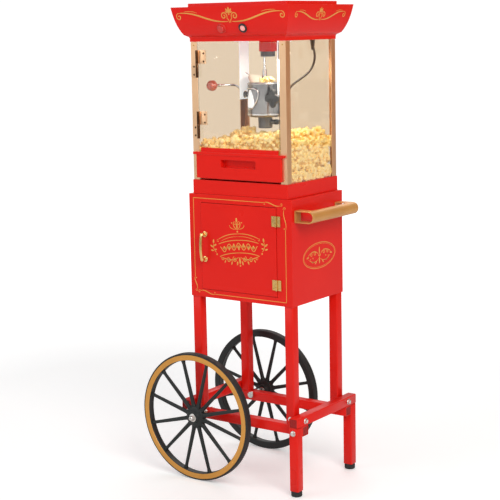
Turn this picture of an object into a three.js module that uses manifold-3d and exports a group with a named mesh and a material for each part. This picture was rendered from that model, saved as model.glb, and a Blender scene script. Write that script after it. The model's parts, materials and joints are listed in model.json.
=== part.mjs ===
// A wheeled popcorn cart: glass popping chamber under a flared canopy, a storage cabinet, and a square
// tube stand on two spoked wheels and two feet. Millimetres, +Z up, the front faces -Y.
// Every piece is drawn about the cabinet's own centre line, and one group moves them all so that the
// origin is the middle of the cart's footprint.
import * as THREE from 'three';
import { mergeGeometries, mergeVertices } from 'three/addons/utils/BufferGeometryUtils.js';
import Module from 'manifold-3d';

const wasm = await Module();
wasm.setup();

// Driving dimensions
const sheet = 1.5;               // sheet metal
const gap = 0.3;                 // between neighbouring pieces
const totalHeight = 1219;        // 48 inches
const cabinet = { halfX: 157, halfY: 117, bottom: 477, top: 743 };
const base = { halfX: 145, halfY: 114, top: 779 };
const post = { halfX: 143, halfY: 112, leg: 19 };
const canopy = { bottom: 1125, tip: 1210, rimHalfX: 144, tipHalfX: 177, depthRatio: 0.789 };
const tube = { side: 25, wall: 1.5, inset: 2 };
const railBottom = 152;
const wheel = { x: -122, radius: 168, rimInner: 149, rimHalf: 10, planeY: 156, spokes: 12, hub: 26 };
const foot = { radius: 14, height: 14 };
const kettle = { x: 8, y: -6, radius: 44, bottom: 935, top: 1020, pivotZ: 990, wall: 1.5 };
const pushHandle = { low: 686, high: 716, reach: 55, end: 106, grip: 80 };
const doorWay = { left: -121, right: 112, bottom: 498, top: 722 };
const glass = 2.5;

const legOuterX = cabinet.halfX - tube.inset;
const legOuterY = cabinet.halfY - tube.inset;
const frameOuterX = legOuterX + tube.side;
const frameOuterY = legOuterY + tube.side;
const railTop = railBottom + tube.side;
const sideRailTop = railTop + tube.side;

// Materials
const finish = (color, roughness, metalness) =>
  new THREE.MeshStandardMaterial({ color, roughness, metalness });
const redPaint = finish(0xd8281f, 0.35, 0.1);
const goldMetal = finish(0xd8a860, 0.3, 0.9);
const brass = finish(0xc9a24e, 0.3, 0.9);
const goldPaint = finish(0xc8913f, 0.45, 0.3);
const blackPlastic = finish(0x1c1f20, 0.5, 0.0);
const blackRubber = finish(0x151515, 0.8, 0.0);
const steel = finish(0xbfc2c4, 0.3, 0.9);
const whitePaint = finish(0xe8e8ea, 0.4, 0.1);
const greyCasting = finish(0x6c6f74, 0.6, 0.4);
const amberPlastic = finish(0xa8452c, 0.3, 0.0);
const corn = finish(0xf1dfa0, 0.8, 0.0);
const clear = new THREE.MeshStandardMaterial({
  color: 0xf0e6d2, roughness: 0.05, metalness: 0, transparent: true, opacity: 0.3,
});

const cart = new THREE.Group();
const add = (name, geometry, material) => {
  const mesh = new THREE.Mesh(geometry, material);
  mesh.name = name;
  cart.add(mesh);
};

// Solids
const solid = (geometry) => {
  const bare = geometry.clone();
  bare.deleteAttribute('normal');
  bare.deleteAttribute('uv');
  const merged = mergeVertices(bare, 1e-4);
  return new wasm.Manifold(new wasm.Mesh({
    numProp: 3,
    vertProperties: new Float32Array(merged.attributes.position.array),
    triVerts: new Uint32Array(merged.index.array),
  }));
};
const shape = (manifold) => {
  const { vertProperties, triVerts } = manifold.getMesh();
  const geometry = new THREE.BufferGeometry();
  geometry.setAttribute('position', new THREE.BufferAttribute(new Float32Array(vertProperties), 3));
  geometry.setIndex(new THREE.BufferAttribute(new Uint32Array(triVerts), 1));
  return geometry;
};
const join = (...geometries) => shape(geometries.map(solid).reduce((all, next) => all.add(next)));
const cut = (body, ...tools) =>
  shape(tools.map(solid).reduce((all, next) => all.subtract(next), solid(body)));

const block = (x0, x1, y0, y1, z0, z1) =>
  new THREE.BoxGeometry(x1 - x0, y1 - y0, z1 - z0)
    .translate((x0 + x1) / 2, (y0 + y1) / 2, (z0 + z1) / 2);

// A round bar along one axis, from one coordinate to another on that axis
const bar = (axis, radius, from, to, a, b, sides = 24) => {
  const rod = new THREE.CylinderGeometry(radius, radius, to - from, sides);
  const middle = (from + to) / 2;
  if (axis === 'x') return rod.rotateZ(-Math.PI / 2).translate(middle, a, b);
  if (axis === 'y') return rod.translate(a, middle, b);
  return rod.rotateX(Math.PI / 2).translate(a, b, middle);
};

// A round tapering solid about a vertical axis, from [radius, height] pairs
const turned = (pairs, x, y, sides = 32) =>
  new THREE.LatheGeometry(pairs.map(([r, z]) => new THREE.Vector2(r, z)), sides)
    .rotateX(Math.PI / 2).translate(x, y, 0);

// The same about an axis along Y
const turnedY = (pairs, x, z, sides = 32) =>
  new THREE.LatheGeometry(pairs.map(([r, y]) => new THREE.Vector2(r, y)), sides)
    .translate(x, 0, z);

// A mitred rectangular moulding: each pair is [half width in X, height], and halfDepth gives half the
// size in Y for a half width
const mitred = (pairs, halfDepth) => {
  const corners = pairs.map(([half, z]) => new THREE.Vector2(half * Math.SQRT2, z));
  const moulding = new THREE.LatheGeometry(corners, 4, Math.PI / 4).rotateX(Math.PI / 2);
  const place = moulding.attributes.position;
  for (let i = 0; i < place.count; i += 1) {
    place.setY(i, Math.sign(place.getY(i)) * halfDepth(Math.abs(place.getX(i))));
  }
  return moulding;
};

// A round section swept along a smooth line through points
const swept = (points, radius, steps, sides = 10) => {
  const ring = new THREE.Shape().absarc(0, 0, radius, 0, 2 * Math.PI);
  return new THREE.ExtrudeGeometry(ring, {
    steps, curveSegments: sides, bevelEnabled: false,
    extrudePath: new THREE.CatmullRomCurve3(points.map((p) => new THREE.Vector3(...p))),
  });
};

// A flat outline in X and Y, raised from one height to another
const raised = (outline, z0, z1) =>
  new THREE.ExtrudeGeometry(outline, { depth: z1 - z0, bevelEnabled: false, curveSegments: 16 })
    .translate(0, 0, z0);

// Stand: square tubes, feet, axles and wheels
const squareTube = (axis, x0, x1, y0, y1, z0, z1) => {
  const w = tube.wall;
  const past = 1;
  const bore = {
    x: [x0 - past, x1 + past, y0 + w, y1 - w, z0 + w, z1 - w],
    y: [x0 + w, x1 - w, y0 - past, y1 + past, z0 + w, z1 - w],
    z: [x0 + w, x1 - w, y0 + w, y1 - w, z0 - past, z1 + past],
  }[axis];
  return cut(block(x0, x1, y0, y1, z0, z1), block(...bore));
};

const ends = [['front', -1], ['rear', 1]];
const sides = [['left', -1], ['right', 1]];
const span = (sign, near, far) => (sign < 0 ? [-far, -near] : [near, far]);

function makeStand() {
  const axleHole = 6.4;
  for (const [end, sy] of ends) {
    const [y0, y1] = span(sy, legOuterY - tube.side, legOuterY);
    const rail = squareTube('x', -frameOuterX, frameOuterX, y0, y1, railBottom, railTop - gap);
    add(`cross_rail_${end}`,
      cut(rail, bar('y', axleHole, y0 - 1, y1 + 1, wheel.x, wheel.radius)), redPaint);
    const [legY0, legY1] = span(sy, legOuterY + gap, frameOuterY);
    add(`lower_leg_${end}`,
      squareTube('z', legOuterX, frameOuterX, legY0, legY1, foot.height + gap, railTop - gap),
      redPaint);
    add(`foot_${end}`, turned([
      [0, 0], [foot.radius - 2, 0], [foot.radius, 2], [foot.radius, foot.height - 2],
      [foot.radius - 1, foot.height], [0, foot.height],
    ], legOuterX + tube.side / 2, sy * (legOuterY + tube.side / 2), 28), blackRubber);
    for (const [side, sx] of sides) {
      const [x0, x1] = span(sx, legOuterX - tube.side, legOuterX);
      add(`upper_leg_${end}_${side}`,
        squareTube('z', x0, x1, y0, y1, railTop, cabinet.bottom - gap), redPaint);
    }
  }
  for (const [side, sx] of sides) {
    const [x0, x1] = span(sx, legOuterX + gap, frameOuterX);
    add(`side_rail_${side}`,
      squareTube('y', x0, x1, -frameOuterY, frameOuterY, railTop, sideRailTop), redPaint);
  }
}

function makeWheel(end, sy) {
  const y = sy * wheel.planeY;
  const hubHalf = 15;
  const bore = 6.1;
  const { radius, rimInner, rimHalf, spokes, hub } = wheel;
  const rim = turnedY([
    [rimInner, -rimHalf + 2], [rimInner + 2, -rimHalf], [radius - 4, -rimHalf], [radius, -rimHalf + 3],
    [radius, rimHalf - 3], [radius - 4, rimHalf], [rimInner + 2, rimHalf], [rimInner, rimHalf - 2],
    [rimInner, -rimHalf + 2],
  ], 0, 0, 64).rotateY(Math.PI / 2);
  const core = turnedY([
    [bore, -hubHalf], [hub - 11, -hubHalf], [hub - 9, -hubHalf + 5], [hub, -7], [hub, 7],
    [hub - 9, hubHalf - 5], [hub - 11, hubHalf], [bore, hubHalf], [bore, -hubHalf],
  ], 0, 0, 32);
  const spokeLength = rimInner + 3 - (hub - 3);
  const spokeMiddle = (rimInner + 3 + hub - 3) / 2;
  const rods = Array.from({ length: spokes }, (_, i) =>
    new THREE.CylinderGeometry(3.6, 4.6, spokeLength, 8)
      .translate(0, spokeMiddle, 0).rotateX(Math.PI / 2)
      .rotateY(((i + 0.5) * 2 * Math.PI) / spokes));
  add(`wheel_${end}`, join(rim, core, ...rods).translate(wheel.x, y, wheel.radius), blackPlastic);

  const rail = { inner: legOuterY - tube.side, outer: legOuterY };
  const hubInner = wheel.planeY - hubHalf;
  const hubOuter = wheel.planeY + hubHalf;
  const axle = [
    [0, rail.inner - 7], [7, rail.inner - 7], [9, rail.inner - 5], [9, rail.inner - gap],
    [6, rail.inner - gap], [6, rail.outer + gap], [9, rail.outer + gap], [9, hubInner - gap],
    [6, hubInner - gap], [6, hubOuter + gap], [9.5, hubOuter + gap], [9.5, hubOuter + 2],
    [8, hubOuter + 2], [8, hubOuter + 7], [6.5, hubOuter + 10.5], [3.5, hubOuter + 12.5],
    [0, hubOuter + 13],
  ].map(([r, d]) => [r, sy * d]);
  if (sy < 0) axle.reverse();
  add(`axle_${end}`, turnedY(axle, wheel.x, wheel.radius, 24), steel);
}

// Lower cabinet: folded box, door, hinges, pull and push handle
function makeCabinet() {
  const { halfX, halfY, bottom, top } = cabinet;
  const outer = block(-halfX, halfX, -halfY, halfY, bottom, top);
  const inner = block(-halfX + sheet, halfX - sheet, -halfY + sheet, halfY - sheet,
    bottom + sheet, top - sheet);
  const way = block(doorWay.left, doorWay.right, -halfY - 1, -halfY + 10, doorWay.bottom, doorWay.top);
  add('cabinet_body', cut(outer, inner, way), redPaint);

  const play = 1;
  const door = {
    x0: doorWay.left + play, x1: doorWay.right - play,
    z0: doorWay.bottom + play, z1: doorWay.top - play,
    front: -halfY - 1.5, back: -halfY + 10.5,
  };
  add('cabinet_door', cut(
    block(door.x0, door.x1, door.front, door.back, door.z0, door.z1),
    block(door.x0 + sheet, door.x1 - sheet, door.front + sheet, door.back + 1,
      door.z0 + sheet, door.z1 - sheet),
  ), redPaint);

  const pull = { x: -107.5, z: 609, half: 32, tip: 43, out: -137, radius: 4 };
  const foot0 = door.front - gap;
  const bow = swept([
    [pull.x, foot0 - 1, pull.z - pull.half], [pull.x, pull.out + 5, pull.z - pull.half - 2],
    [pull.x, pull.out, pull.z - pull.half / 2], [pull.x, pull.out - 1, pull.z],
    [pull.x, pull.out, pull.z + pull.half / 2], [pull.x, pull.out + 5, pull.z + pull.half + 2],
    [pull.x, foot0 - 1, pull.z + pull.half],
  ], pull.radius, 28);
  const pads = [-1, 1].map((s) =>
    bar('y', 7, foot0 - 3, foot0, pull.x, pull.z + s * pull.half, 20));
  add('cabinet_door_pull', join(bow, ...pads), brass);

  // Butt hinges on the front face: the barrel stands just proud of the leaves
  const axis = { x: doorWay.right, y: -121.7, radius: 2.8, pin: 1.4 };
  const leaf = { width: 13, height: 26, back: door.front - gap, front: door.front - gap - 1.2 };
  for (const [which, z] of [['upper', 688], ['lower', 529]]) {
    const z0 = z - leaf.height / 2;
    const z1 = z + leaf.height / 2;
    const third = leaf.height / 3;
    const knuckle = (from, to) => bar('z', axis.radius, from, to, axis.x, axis.y, 16);
    const clearance = axis.radius + 0.5;
    const fixed = join(
      block(axis.x + clearance - 1, axis.x + leaf.width, leaf.front, -halfY - gap, z0, z1),
      block(axis.x + 0.5, axis.x + clearance, leaf.front - 1, leaf.front + 1, z0 + third, z1 - third),
      knuckle(z0 + third + gap, z1 - third - gap),
      bar('z', axis.pin, z0 - 1, z1 + 1, axis.x, axis.y, 12),
    );
    add(`cabinet_hinge_${which}_fixed_leaf`, fixed, brass);
    const bore = bar('z', axis.pin + 0.2, z0 - 3, z1 + 3, axis.x, axis.y, 12);
    const lobe = (from, to) => join(
      knuckle(from, to),
      block(axis.x - clearance, axis.x - 0.5, leaf.front - 1, leaf.front + 1, from, to),
    );
    const moving = join(
      block(axis.x - leaf.width, axis.x - clearance + 1, leaf.front, leaf.back, z0, z1),
      lobe(z0, z0 + third - gap), lobe(z1 - third + gap, z1),
    );
    const centre = block(axis.x - clearance - 0.2, axis.x, leaf.front - 3, leaf.back + 1,
      z0 + third - gap, z1 - third + gap);
    add(`cabinet_hinge_${which}_door_leaf`, cut(moving, bore, centre), brass);
  }
}

function makePushHandle() {
  const { low, high, reach, end, grip } = pushHandle;
  const wall = 2.5;
  const x0 = cabinet.halfX + gap;
  const nose = (high - low) / 2;
  const z = (high + low) / 2;
  const loop = (inset) => {
    const outline = new THREE.Shape();
    const r = nose - inset;
    const noseX = x0 + reach - nose;
    outline.moveTo(x0 + inset, z - r);
    outline.lineTo(noseX, z - r);
    outline.absarc(noseX, z, r, -Math.PI / 2, Math.PI / 2, false);
    outline.lineTo(x0 + inset, z + r);
    outline.closePath();
    return outline;
  };
  // drawn in X and Z, pushed through along Y
  const through = (outline, half) =>
    new THREE.ExtrudeGeometry(outline, { depth: 2 * half, bevelEnabled: false, curveSegments: 10 })
      .rotateX(Math.PI / 2).translate(0, half, 0);
  const hollow = cut(through(loop(0), end), through(loop(wall), end + 5));
  const handSpace = block(x0 - 1, x0 + reach - nose - 2, -grip, grip, low - 1, high + 1);
  add('push_handle', cut(hollow, handSpace), goldPaint);
}

// Popping chamber: base, corner posts, glass, door, drawer, floor and popcorn
function makeChamber() {
  const { halfX, halfY, top } = base;
  const bottom = cabinet.top + gap;
  add('chamber_base', cut(
    block(-halfX, halfX, -halfY, halfY, bottom, top),
    block(-halfX + sheet, halfX - sheet, -halfY + sheet, halfY - sheet, bottom - 1, top - sheet),
  ), redPaint);

  const postBottom = top + gap;
  const postTop = canopy.bottom - gap;
  for (const [end, sy] of ends) {
    for (const [side, sx] of sides) {
      const outline = new THREE.Shape([
        [post.halfX, post.halfY], [post.halfX - post.leg, post.halfY],
        [post.halfX - post.leg, post.halfY - sheet], [post.halfX - sheet, post.halfY - sheet],
        [post.halfX - sheet, post.halfY - post.leg], [post.halfX, post.halfY - post.leg],
      ].map(([x, y]) => new THREE.Vector2(sx * x, sy * y)));
      add(`corner_post_${end}_${side}`, raised(outline, postBottom, postTop), goldMetal);
    }
  }

  const paneX = post.halfX - sheet - gap;
  const paneY = post.halfY - sheet - gap;
  for (const [side, sx] of sides) {
    const [x0, x1] = span(sx, paneX - glass, paneX);
    add(`window_${side}`, block(x0, x1, -paneY, paneY, postBottom, postTop), clear);
  }
  const rearX = paneX - glass - gap;
  add('window_rear', block(-rearX, rearX, paneY - glass, paneY, postBottom, postTop), clear);
}

function makeGlassDoor() {
  const halfX = 122;
  const front = -post.halfY;
  add('glass_door', block(-halfX, halfX, front, front + glass, 863, 1121), clear);

  // Lift-off hinges: the door's half of the barrel sits on the post's half
  const axis = { x: -120.5, y: -117.5, radius: 3.5, pin: 1.5 };
  const plate = 1.5;
  const face = front - gap;
  for (const [which, z] of [['upper', 1070], ['lower', 918]]) {
    const reach = 34;
    const web = (x0, x1, z0, z1) => block(x0, x1, axis.y, face, z0, z1);
    add(`glass_hinge_${which}_post_leaf`, join(
      block(-142, axis.x - 2.4, face - plate, face, z - reach, z - gap),
      web(axis.x - 3, axis.x - 1, z - reach, z - gap),
      bar('z', axis.radius, z - reach, z - gap, axis.x, axis.y, 16),
      bar('z', axis.pin, z - reach, z + reach - 6, axis.x, axis.y, 12),
    ), brass);
    const barrel = cut(
      bar('z', axis.radius, z + gap, z + reach, axis.x, axis.y, 16),
      bar('z', axis.pin + 0.2, z - 1, z + reach - 5, axis.x, axis.y, 12),
    );
    add(`glass_hinge_${which}_door_leaf`, join(
      barrel,
      web(axis.x + 1.8, axis.x + 3, z + gap, z + reach),
      block(axis.x + 2, axis.x + 24, face - plate, face, z + gap, z + reach),
    ), brass);
  }
}

function makeDrawer() {
  const panel = { halfX: 129, z0: 785, z1: 850, front: -119, back: -post.halfY - 0.7 };
  const face = cut(
    block(-panel.halfX, panel.halfX, panel.front, panel.back, panel.z0, panel.z1),
    block(-panel.halfX + sheet, panel.halfX - sheet, panel.front + sheet, panel.back + 1,
      panel.z0 + sheet, panel.z1 - sheet),
  );
  const lip = block(-138, 138, panel.front - 2, panel.back, panel.z1 - 6, panel.z1 + 0.5);
  const strip = block(-117, 117, panel.back - 2, -109, panel.z1 - 6, 861);
  const grip = { halfX: 53, z0: 813, z1: 833, back: -102 };
  const cup = block(-grip.halfX - sheet, grip.halfX + sheet, panel.front + 0.5, grip.back,
    grip.z0 - sheet, grip.z1 + sheet);
  const fingers = block(-grip.halfX, grip.halfX, panel.front - 5, grip.back - sheet, grip.z0, grip.z1);
  const pan = { halfX: 122, z0: 783, z1: 800, back: 100 };
  const tray = cut(
    block(-pan.halfX, pan.halfX, panel.back - 2, pan.back, pan.z0, pan.z1),
    block(-pan.halfX + sheet, pan.halfX - sheet, panel.back + 2, pan.back - sheet,
      pan.z0 + sheet, pan.z1 + 1),
  );
  add('crumb_drawer', cut(join(face, lip, strip, cup, tray), fingers), redPaint);

  const deck = { halfX: 124.5, front: -106, back: 106, z: 804 };
  const slots = [];
  for (let i = -3; i <= 3; i += 1) {
    for (let j = -2; j <= 2; j += 1) {
      slots.push(block(i * 34 - 11, i * 34 + 11, j * 36 - 2.5, j * 36 + 2.5, deck.z - 5, deck.z + 5));
    }
  }
  add('chamber_floor', cut(
    block(-deck.halfX, deck.halfX, deck.front, deck.back, base.top + gap, deck.z + sheet),
    block(-deck.halfX + sheet, deck.halfX - sheet, deck.front - 1, deck.back + 1, base.top - 1, deck.z),
    ...slots,
  ), steel);

  // The heap of popcorn is a mound whose top follows a smooth formula
  const heap = { halfX: 135, y0: -98, y1: 105, bottom: deck.z + sheet + gap, nx: 18, ny: 14 };
  const mound = new THREE.BoxGeometry(2 * heap.halfX, heap.y1 - heap.y0, 1, heap.nx, heap.ny, 1)
    .translate(0, (heap.y0 + heap.y1) / 2, 0.5);
  const place = mound.attributes.position;
  const hill = (x, y, cx, cy, wide) => Math.exp(-((x - cx) ** 2 + (y - cy) ** 2) / (2 * wide * wide));
  for (let i = 0; i < place.count; i += 1) {
    const x = place.getX(i);
    const y = place.getY(i);
    const height = 884 + 13 * Math.tanh(x / 60) + 30 * hill(x, y, -48, -22, 26);
    place.setZ(i, place.getZ(i) > 0.5 ? height : heap.bottom);
  }
  add('popcorn_heap', mound, corn);
}

// Canopy: flared shell with its floor, raised lid, switch, indicator and stirring motor
const flare = new THREE.Path();
flare.moveTo(canopy.rimHalfX, canopy.bottom);
flare.lineTo(canopy.rimHalfX, 1132);
flare.quadraticCurveTo(canopy.rimHalfX + 0.5, 1137, 148.4, 1138);
flare.lineTo(154.7, 1142);
flare.quadraticCurveTo(170, 1165, canopy.tipHalfX, canopy.tip);
const controls = { tilt: 23.8 * (Math.PI / 180), z: 1157, y: -132.4, button: -30, lamp: 34 };

function makeCanopy() {
  const outside = flare.getPoints(7).map((p) => [p.x, p.y]);
  const wall = 2;
  const lidHole = 134;
  const floorHole = 16;
  const inside = outside
    .filter(([, z]) => z > canopy.bottom + 1)
    .map(([x, z]) => [x - wall, Math.min(z + 0.8, canopy.tip - sheet)])
    .reverse();
  const profile = [
    ...outside, [lidHole, canopy.tip], [lidHole, canopy.tip - sheet], ...inside,
    [canopy.rimHalfX - wall, canopy.bottom + sheet], [floorHole, canopy.bottom + sheet],
    [floorHole, canopy.bottom], outside[0],
  ];
  // The flare hangs over by the same amount on every side
  const shell = mitred(profile, (half) =>
    Math.min(half, canopy.rimHalfX) * canopy.depthRatio + Math.max(half - canopy.rimHalfX, 0));
  // Each control passes through the front face square to its slope
  const square = (geometry, x) => geometry.rotateX(controls.tilt).translate(x, controls.y, controls.z);
  const round = (radius, length) => new THREE.CylinderGeometry(radius, radius, length, 28);
  const bezel = square(round(12.3, 3.5).translate(0, -1, 0), controls.button);
  const cordGland = cut(bar('y', 9, 120, 134, 96, 1150, 20), bar('y', 5, 110, 144, 96, 1150, 16));
  add('canopy_shell', cut(
    join(shell, cordGland, bezel),
    square(round(9.6, 34), controls.button), square(round(8.3, 34), controls.lamp),
    bar('y', 5, 100, 132, 96, 1150, 16),
  ), redPaint);

  const lid = { halfX: 149, halfY: 112, z0: canopy.tip + gap };
  add('canopy_lid', mitred([
    [0, totalHeight - sheet], [lid.halfX - sheet, totalHeight - sheet], [lid.halfX - sheet, lid.z0],
    [lid.halfX, lid.z0], [lid.halfX, totalHeight - 1], [lid.halfX - 1, totalHeight], [0, totalHeight],
  ], (half) => half * (lid.halfY / lid.halfX)), redPaint);

  // Cylinders stand along Y, with their outer end towards -Y
  const knob = turnedY([
    [0, -7.5], [6.5, -7.5], [8.6, -6.6], [9.2, -5], [9.2, 12], [0, 12],
  ], 0, 0, 28);
  add('power_button', square(knob, controls.button), redPaint);
  const lamp = turnedY([
    [0, -6.5], [5, -5.8], [7.5, -3], [11, -3], [12, -2], [12, -0.5], [8, -0.5], [8, 18], [0, 18],
  ], 0, 0, 28);
  add('indicator_lamp', square(lamp, controls.lamp), blackPlastic);

  const deck = canopy.bottom + sheet + gap;
  const gearbox = block(-26, 40, -30, 26, deck, deck + 24);
  const can = turned([[0, deck + 22], [19, deck + 22], [19, deck + 58], [16, deck + 60], [0, deck + 60]],
    18, 0, 28);
  const socket = bar('z', 3.3, deck - 1, deck + 16, kettle.x, kettle.y, 16);
  add('stir_motor', cut(join(gearbox, can), socket), greyCasting);

  const cover = { x0: 0, x1: 36, y0: -17, y1: 17, z0: 1098, z1: canopy.bottom - gap };
  const collar = bar('z', 18, 1085, 1099, 16, -2, 28);
  add('motor_cover', cut(
    join(block(cover.x0, cover.x1, cover.y0, cover.y1, cover.z0, cover.z1), collar),
    block(cover.x0 + sheet, cover.x1 - sheet, cover.y0 + sheet, cover.y1 - sheet,
      cover.z0 + sheet, cover.z1 + 1),
    bar('z', 4, 1080, 1110, kettle.x, kettle.y, 16),
  ), redPaint);
}

// Kettle, its hangers and the stirring drive
function makeKettle() {
  const { x, y, radius, bottom, top, pivotZ, wall } = kettle;
  const hangerTop = canopy.bottom - gap;
  const hanger = { left: -56, right: 60, thick: 2, halfY: 20, bottom: pivotZ - 12 };
  const strap = (x0, outward) => {
    const plate = block(x0, x0 + hanger.thick, y - hanger.halfY, y + hanger.halfY, hanger.bottom, hangerTop);
    const reach = outward < 0 ? [x0 - 16, x0 + 1] : [x0 + 1, x0 + hanger.thick + 16];
    const flange = block(...reach, y - hanger.halfY, y + hanger.halfY, hangerTop - hanger.thick, hangerTop);
    return cut(join(plate, flange), bar('x', 4.3, x0 - 3, x0 + 5, y, pivotZ, 16));
  };
  add('kettle_hanger_left', strap(hanger.left, -1), whitePaint);
  add('kettle_hanger_right', strap(hanger.right, 1), whitePaint);

  const pot = turned([
    [0, bottom], [radius - 4, bottom], [radius, bottom + 4], [radius, top - 2], [radius + 1.5, top - 1],
    [radius + 1.5, top], [radius - wall, top], [radius - wall, bottom + 5],
    [radius - 5, bottom + wall], [0, bottom + wall],
  ], x, y, 40);
  const bridge = { halfX: 7, z0: top - 4, z1: top - 1 };
  const span2 = radius - 0.5;
  const beam = block(x - bridge.halfX, x + bridge.halfX, y - span2, y + span2, bridge.z0, bridge.z1);
  const lugLeft = block(x - radius - 3, x - radius + 1, y - 9, y + 9, pivotZ - 10, pivotZ + 10);
  const lugRight = block(x + radius - 1, x + radius + 4, y - 9, y + 9, pivotZ - 10, pivotZ + 10);
  const stub = bar('x', 4, x + radius + 3, hanger.right + 5, y, pivotZ, 16);
  const knobAt = { x: 62, z: 983, y: -44 };
  const knobLug = block(x + 24, knobAt.x + 4, knobAt.y, knobAt.y + 3, knobAt.z - 5, knobAt.z + 5);
  const spindleHole = bar('z', 3.3, bridge.z0 - 1, bridge.z1 + 1, x, y, 16);
  const rodHole = bar('x', 3.2, x - radius - 6, x - radius + 1.5, y, pivotZ, 16);
  const knobHole = bar('y', 2.2, knobAt.y - 1, knobAt.y + 5, knobAt.x, knobAt.z, 12);
  add('kettle_pot', cut(
    join(pot, beam, lugLeft, lugRight, stub, knobLug), spindleHole, rodHole, knobHole,
  ), steel);

  // Two half lids, each hinged beside the bridge
  const lidEdge = radius + 1;
  const half = (sx) => {
    const inner = bridge.halfX + 1.5;
    const reach = Math.acos(inner / lidEdge);
    const outline = new THREE.Shape();
    outline.absarc(0, 0, lidEdge, -reach, reach, false);
    outline.closePath();
    const plate = raised(outline, 0, 1.2);
    return (sx < 0 ? plate.rotateZ(Math.PI) : plate);
  };
  const lidZ = top + gap;
  const hingeX = bridge.halfX + 1.5;
  const leftOpen = 30 * (Math.PI / 180);
  const liftTab = block(-lidEdge - 13, -lidEdge + 6, -13, -10, 0, 1.2);
  add('kettle_lid_left', join(half(-1), liftTab)
    .translate(hingeX, 0, 0).rotateY(leftOpen)
    .translate(x - hingeX, y, lidZ), steel);
  add('kettle_lid_right', half(1).translate(x, y, lidZ), steel);

  // Heater housing under the pot, with its plug on the right
  add('heater_housing', join(
    turned([[0, 906], [16, 906], [18, 908], [18, bottom - gap], [0, bottom - gap]], x, y, 28),
    bar('x', 6, x + 15, x + 28, y, 922, 16),
    bar('x', 4.5, x + 27, x + 44, y, 922, 16),
  ), greyCasting);

  // Tilting handle: the pivot rod turns up and forward outside the left hanger
  const ball = { x: -99, y: -85, z: 1015, radius: 14 };
  const rodStart = x - radius - 0.5;
  add('tilt_handle_rod', swept([
    [rodStart, y, pivotZ], [-50, y, pivotZ], [-60, y, pivotZ], [-64, y - 3, pivotZ + 6],
    [-66, y - 12, pivotZ + 19], [-70, y - 24, pivotZ + 24], [-80, -51, ball.z],
    [ball.x + 2, ball.y + 4, ball.z],
  ], 3, 30), steel);
  const sphere = new THREE.SphereGeometry(ball.radius, 24, 16).translate(ball.x, ball.y, ball.z);
  const rodDirection = new THREE.Vector3(19, 34, 0).normalize();
  const socket = new THREE.CylinderGeometry(3.6, 3.6, 24, 12);
  socket.applyQuaternion(new THREE.Quaternion().setFromUnitVectors(new THREE.Vector3(0, 1, 0), rodDirection));
  socket.translate(ball.x + rodDirection.x * 10, ball.y + rodDirection.y * 10, ball.z);
  add('tilt_handle_ball', cut(sphere, socket), amberPlastic);

  // Four-lobed locking knob with its screw
  const lobes = [0, 1, 2, 3].map((i) => {
    const angle = (i * Math.PI) / 2;
    return new THREE.CylinderGeometry(8, 8, 11, 20).translate(15 * Math.cos(angle), 0, 15 * Math.sin(angle));
  });
  const boss = turnedY([[0, -8], [10, -7.5], [13, -5], [13, 5.5], [0, 5.5]], 0, 0, 24);
  const screw = new THREE.CylinderGeometry(2, 2, 14, 12).translate(0, 11, 0);
  add('kettle_lock_knob', join(boss, ...lobes, screw)
    .translate(knobAt.x, knobAt.y - 6, knobAt.z), blackPlastic);

  // Drive: shaft from the motor, a sliding coupling, and the stirrer in the kettle
  const shaftEnd = 1046;
  add('drive_shaft', bar('z', 3, shaftEnd, 1140, x, y, 16), steel);
  const sleeve = { z0: 1026, z1: 1053, radius: 6 };
  add('drive_coupling', cut(
    bar('z', sleeve.radius, sleeve.z0, sleeve.z1, x, y, 24),
    bar('z', 3.3, sleeve.z0 - 1, sleeve.z1 + 1, x, y, 16),
    block(x - 2.2, x + 2.2, y - 10, y + 10, sleeve.z0 - 1, sleeve.z0 + 8.5),
  ), steel);
  const tongue = block(x - 1.7, x + 1.7, y - 2.5, y + 2.5, top + 1, 1033);
  const spindle = bar('z', 3, bottom + 8, top + 2, x, y, 16);
  const collarUnder = bar('z', 5.5, bridge.z0 - 4, bridge.z0 - 0.4, x, y, 20);
  const collarOver = bar('z', 5.5, bridge.z1 + 0.4, bridge.z1 + 3, x, y, 20);
  const arm = (angle) => block(0, 36, -1.2, 1.2, bottom + 4, bottom + 12).rotateZ(angle).translate(x, y, 0);
  add('stirrer', join(tongue, spindle, collarUnder, collarOver, arm(0.6), arm(0.6 + Math.PI)), steel);
}

// The kettle's lead hangs from the canopy floor and curves round to the heater's plug
function makeLead() {
  const route = [
    [52.5, -6, 922], [58, -6, 922], [63, -5, 923.5], [66, -1, 929], [67, 5, 941], [66.5, 9, 960],
    [66.5, 10.5, 985], [69, 12, 1005], [83, 14, 1018.5], [101.5, 18, 1031], [115, 22, 1041.5],
    [125, 25, 1053], [131, 28, 1067.5], [132.8, 30, 1082], [131.8, 30, 1095.5], [128.5, 30, 1110],
    [127, 30, 1124.5],
  ];
  add('kettle_lead', swept(route, 2.75, 50, 10), blackRubber);
}

makeStand();
for (const [end, sy] of ends) makeWheel(end, sy);
makeCabinet();
makePushHandle();
makeChamber();
makeGlassDoor();
makeDrawer();
makeCanopy();
makeKettle();
makeLead();

// The footprint runs from the wheels' left edge to the push handle's outer edge
const left = wheel.x - wheel.radius;
const right = cabinet.halfX + gap + pushHandle.reach;
cart.position.x = -(left + right) / 2;

export default cart;
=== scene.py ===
import json
import math
import random

import bmesh
import bpy
from mathutils import Matrix, Vector, noise


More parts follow.
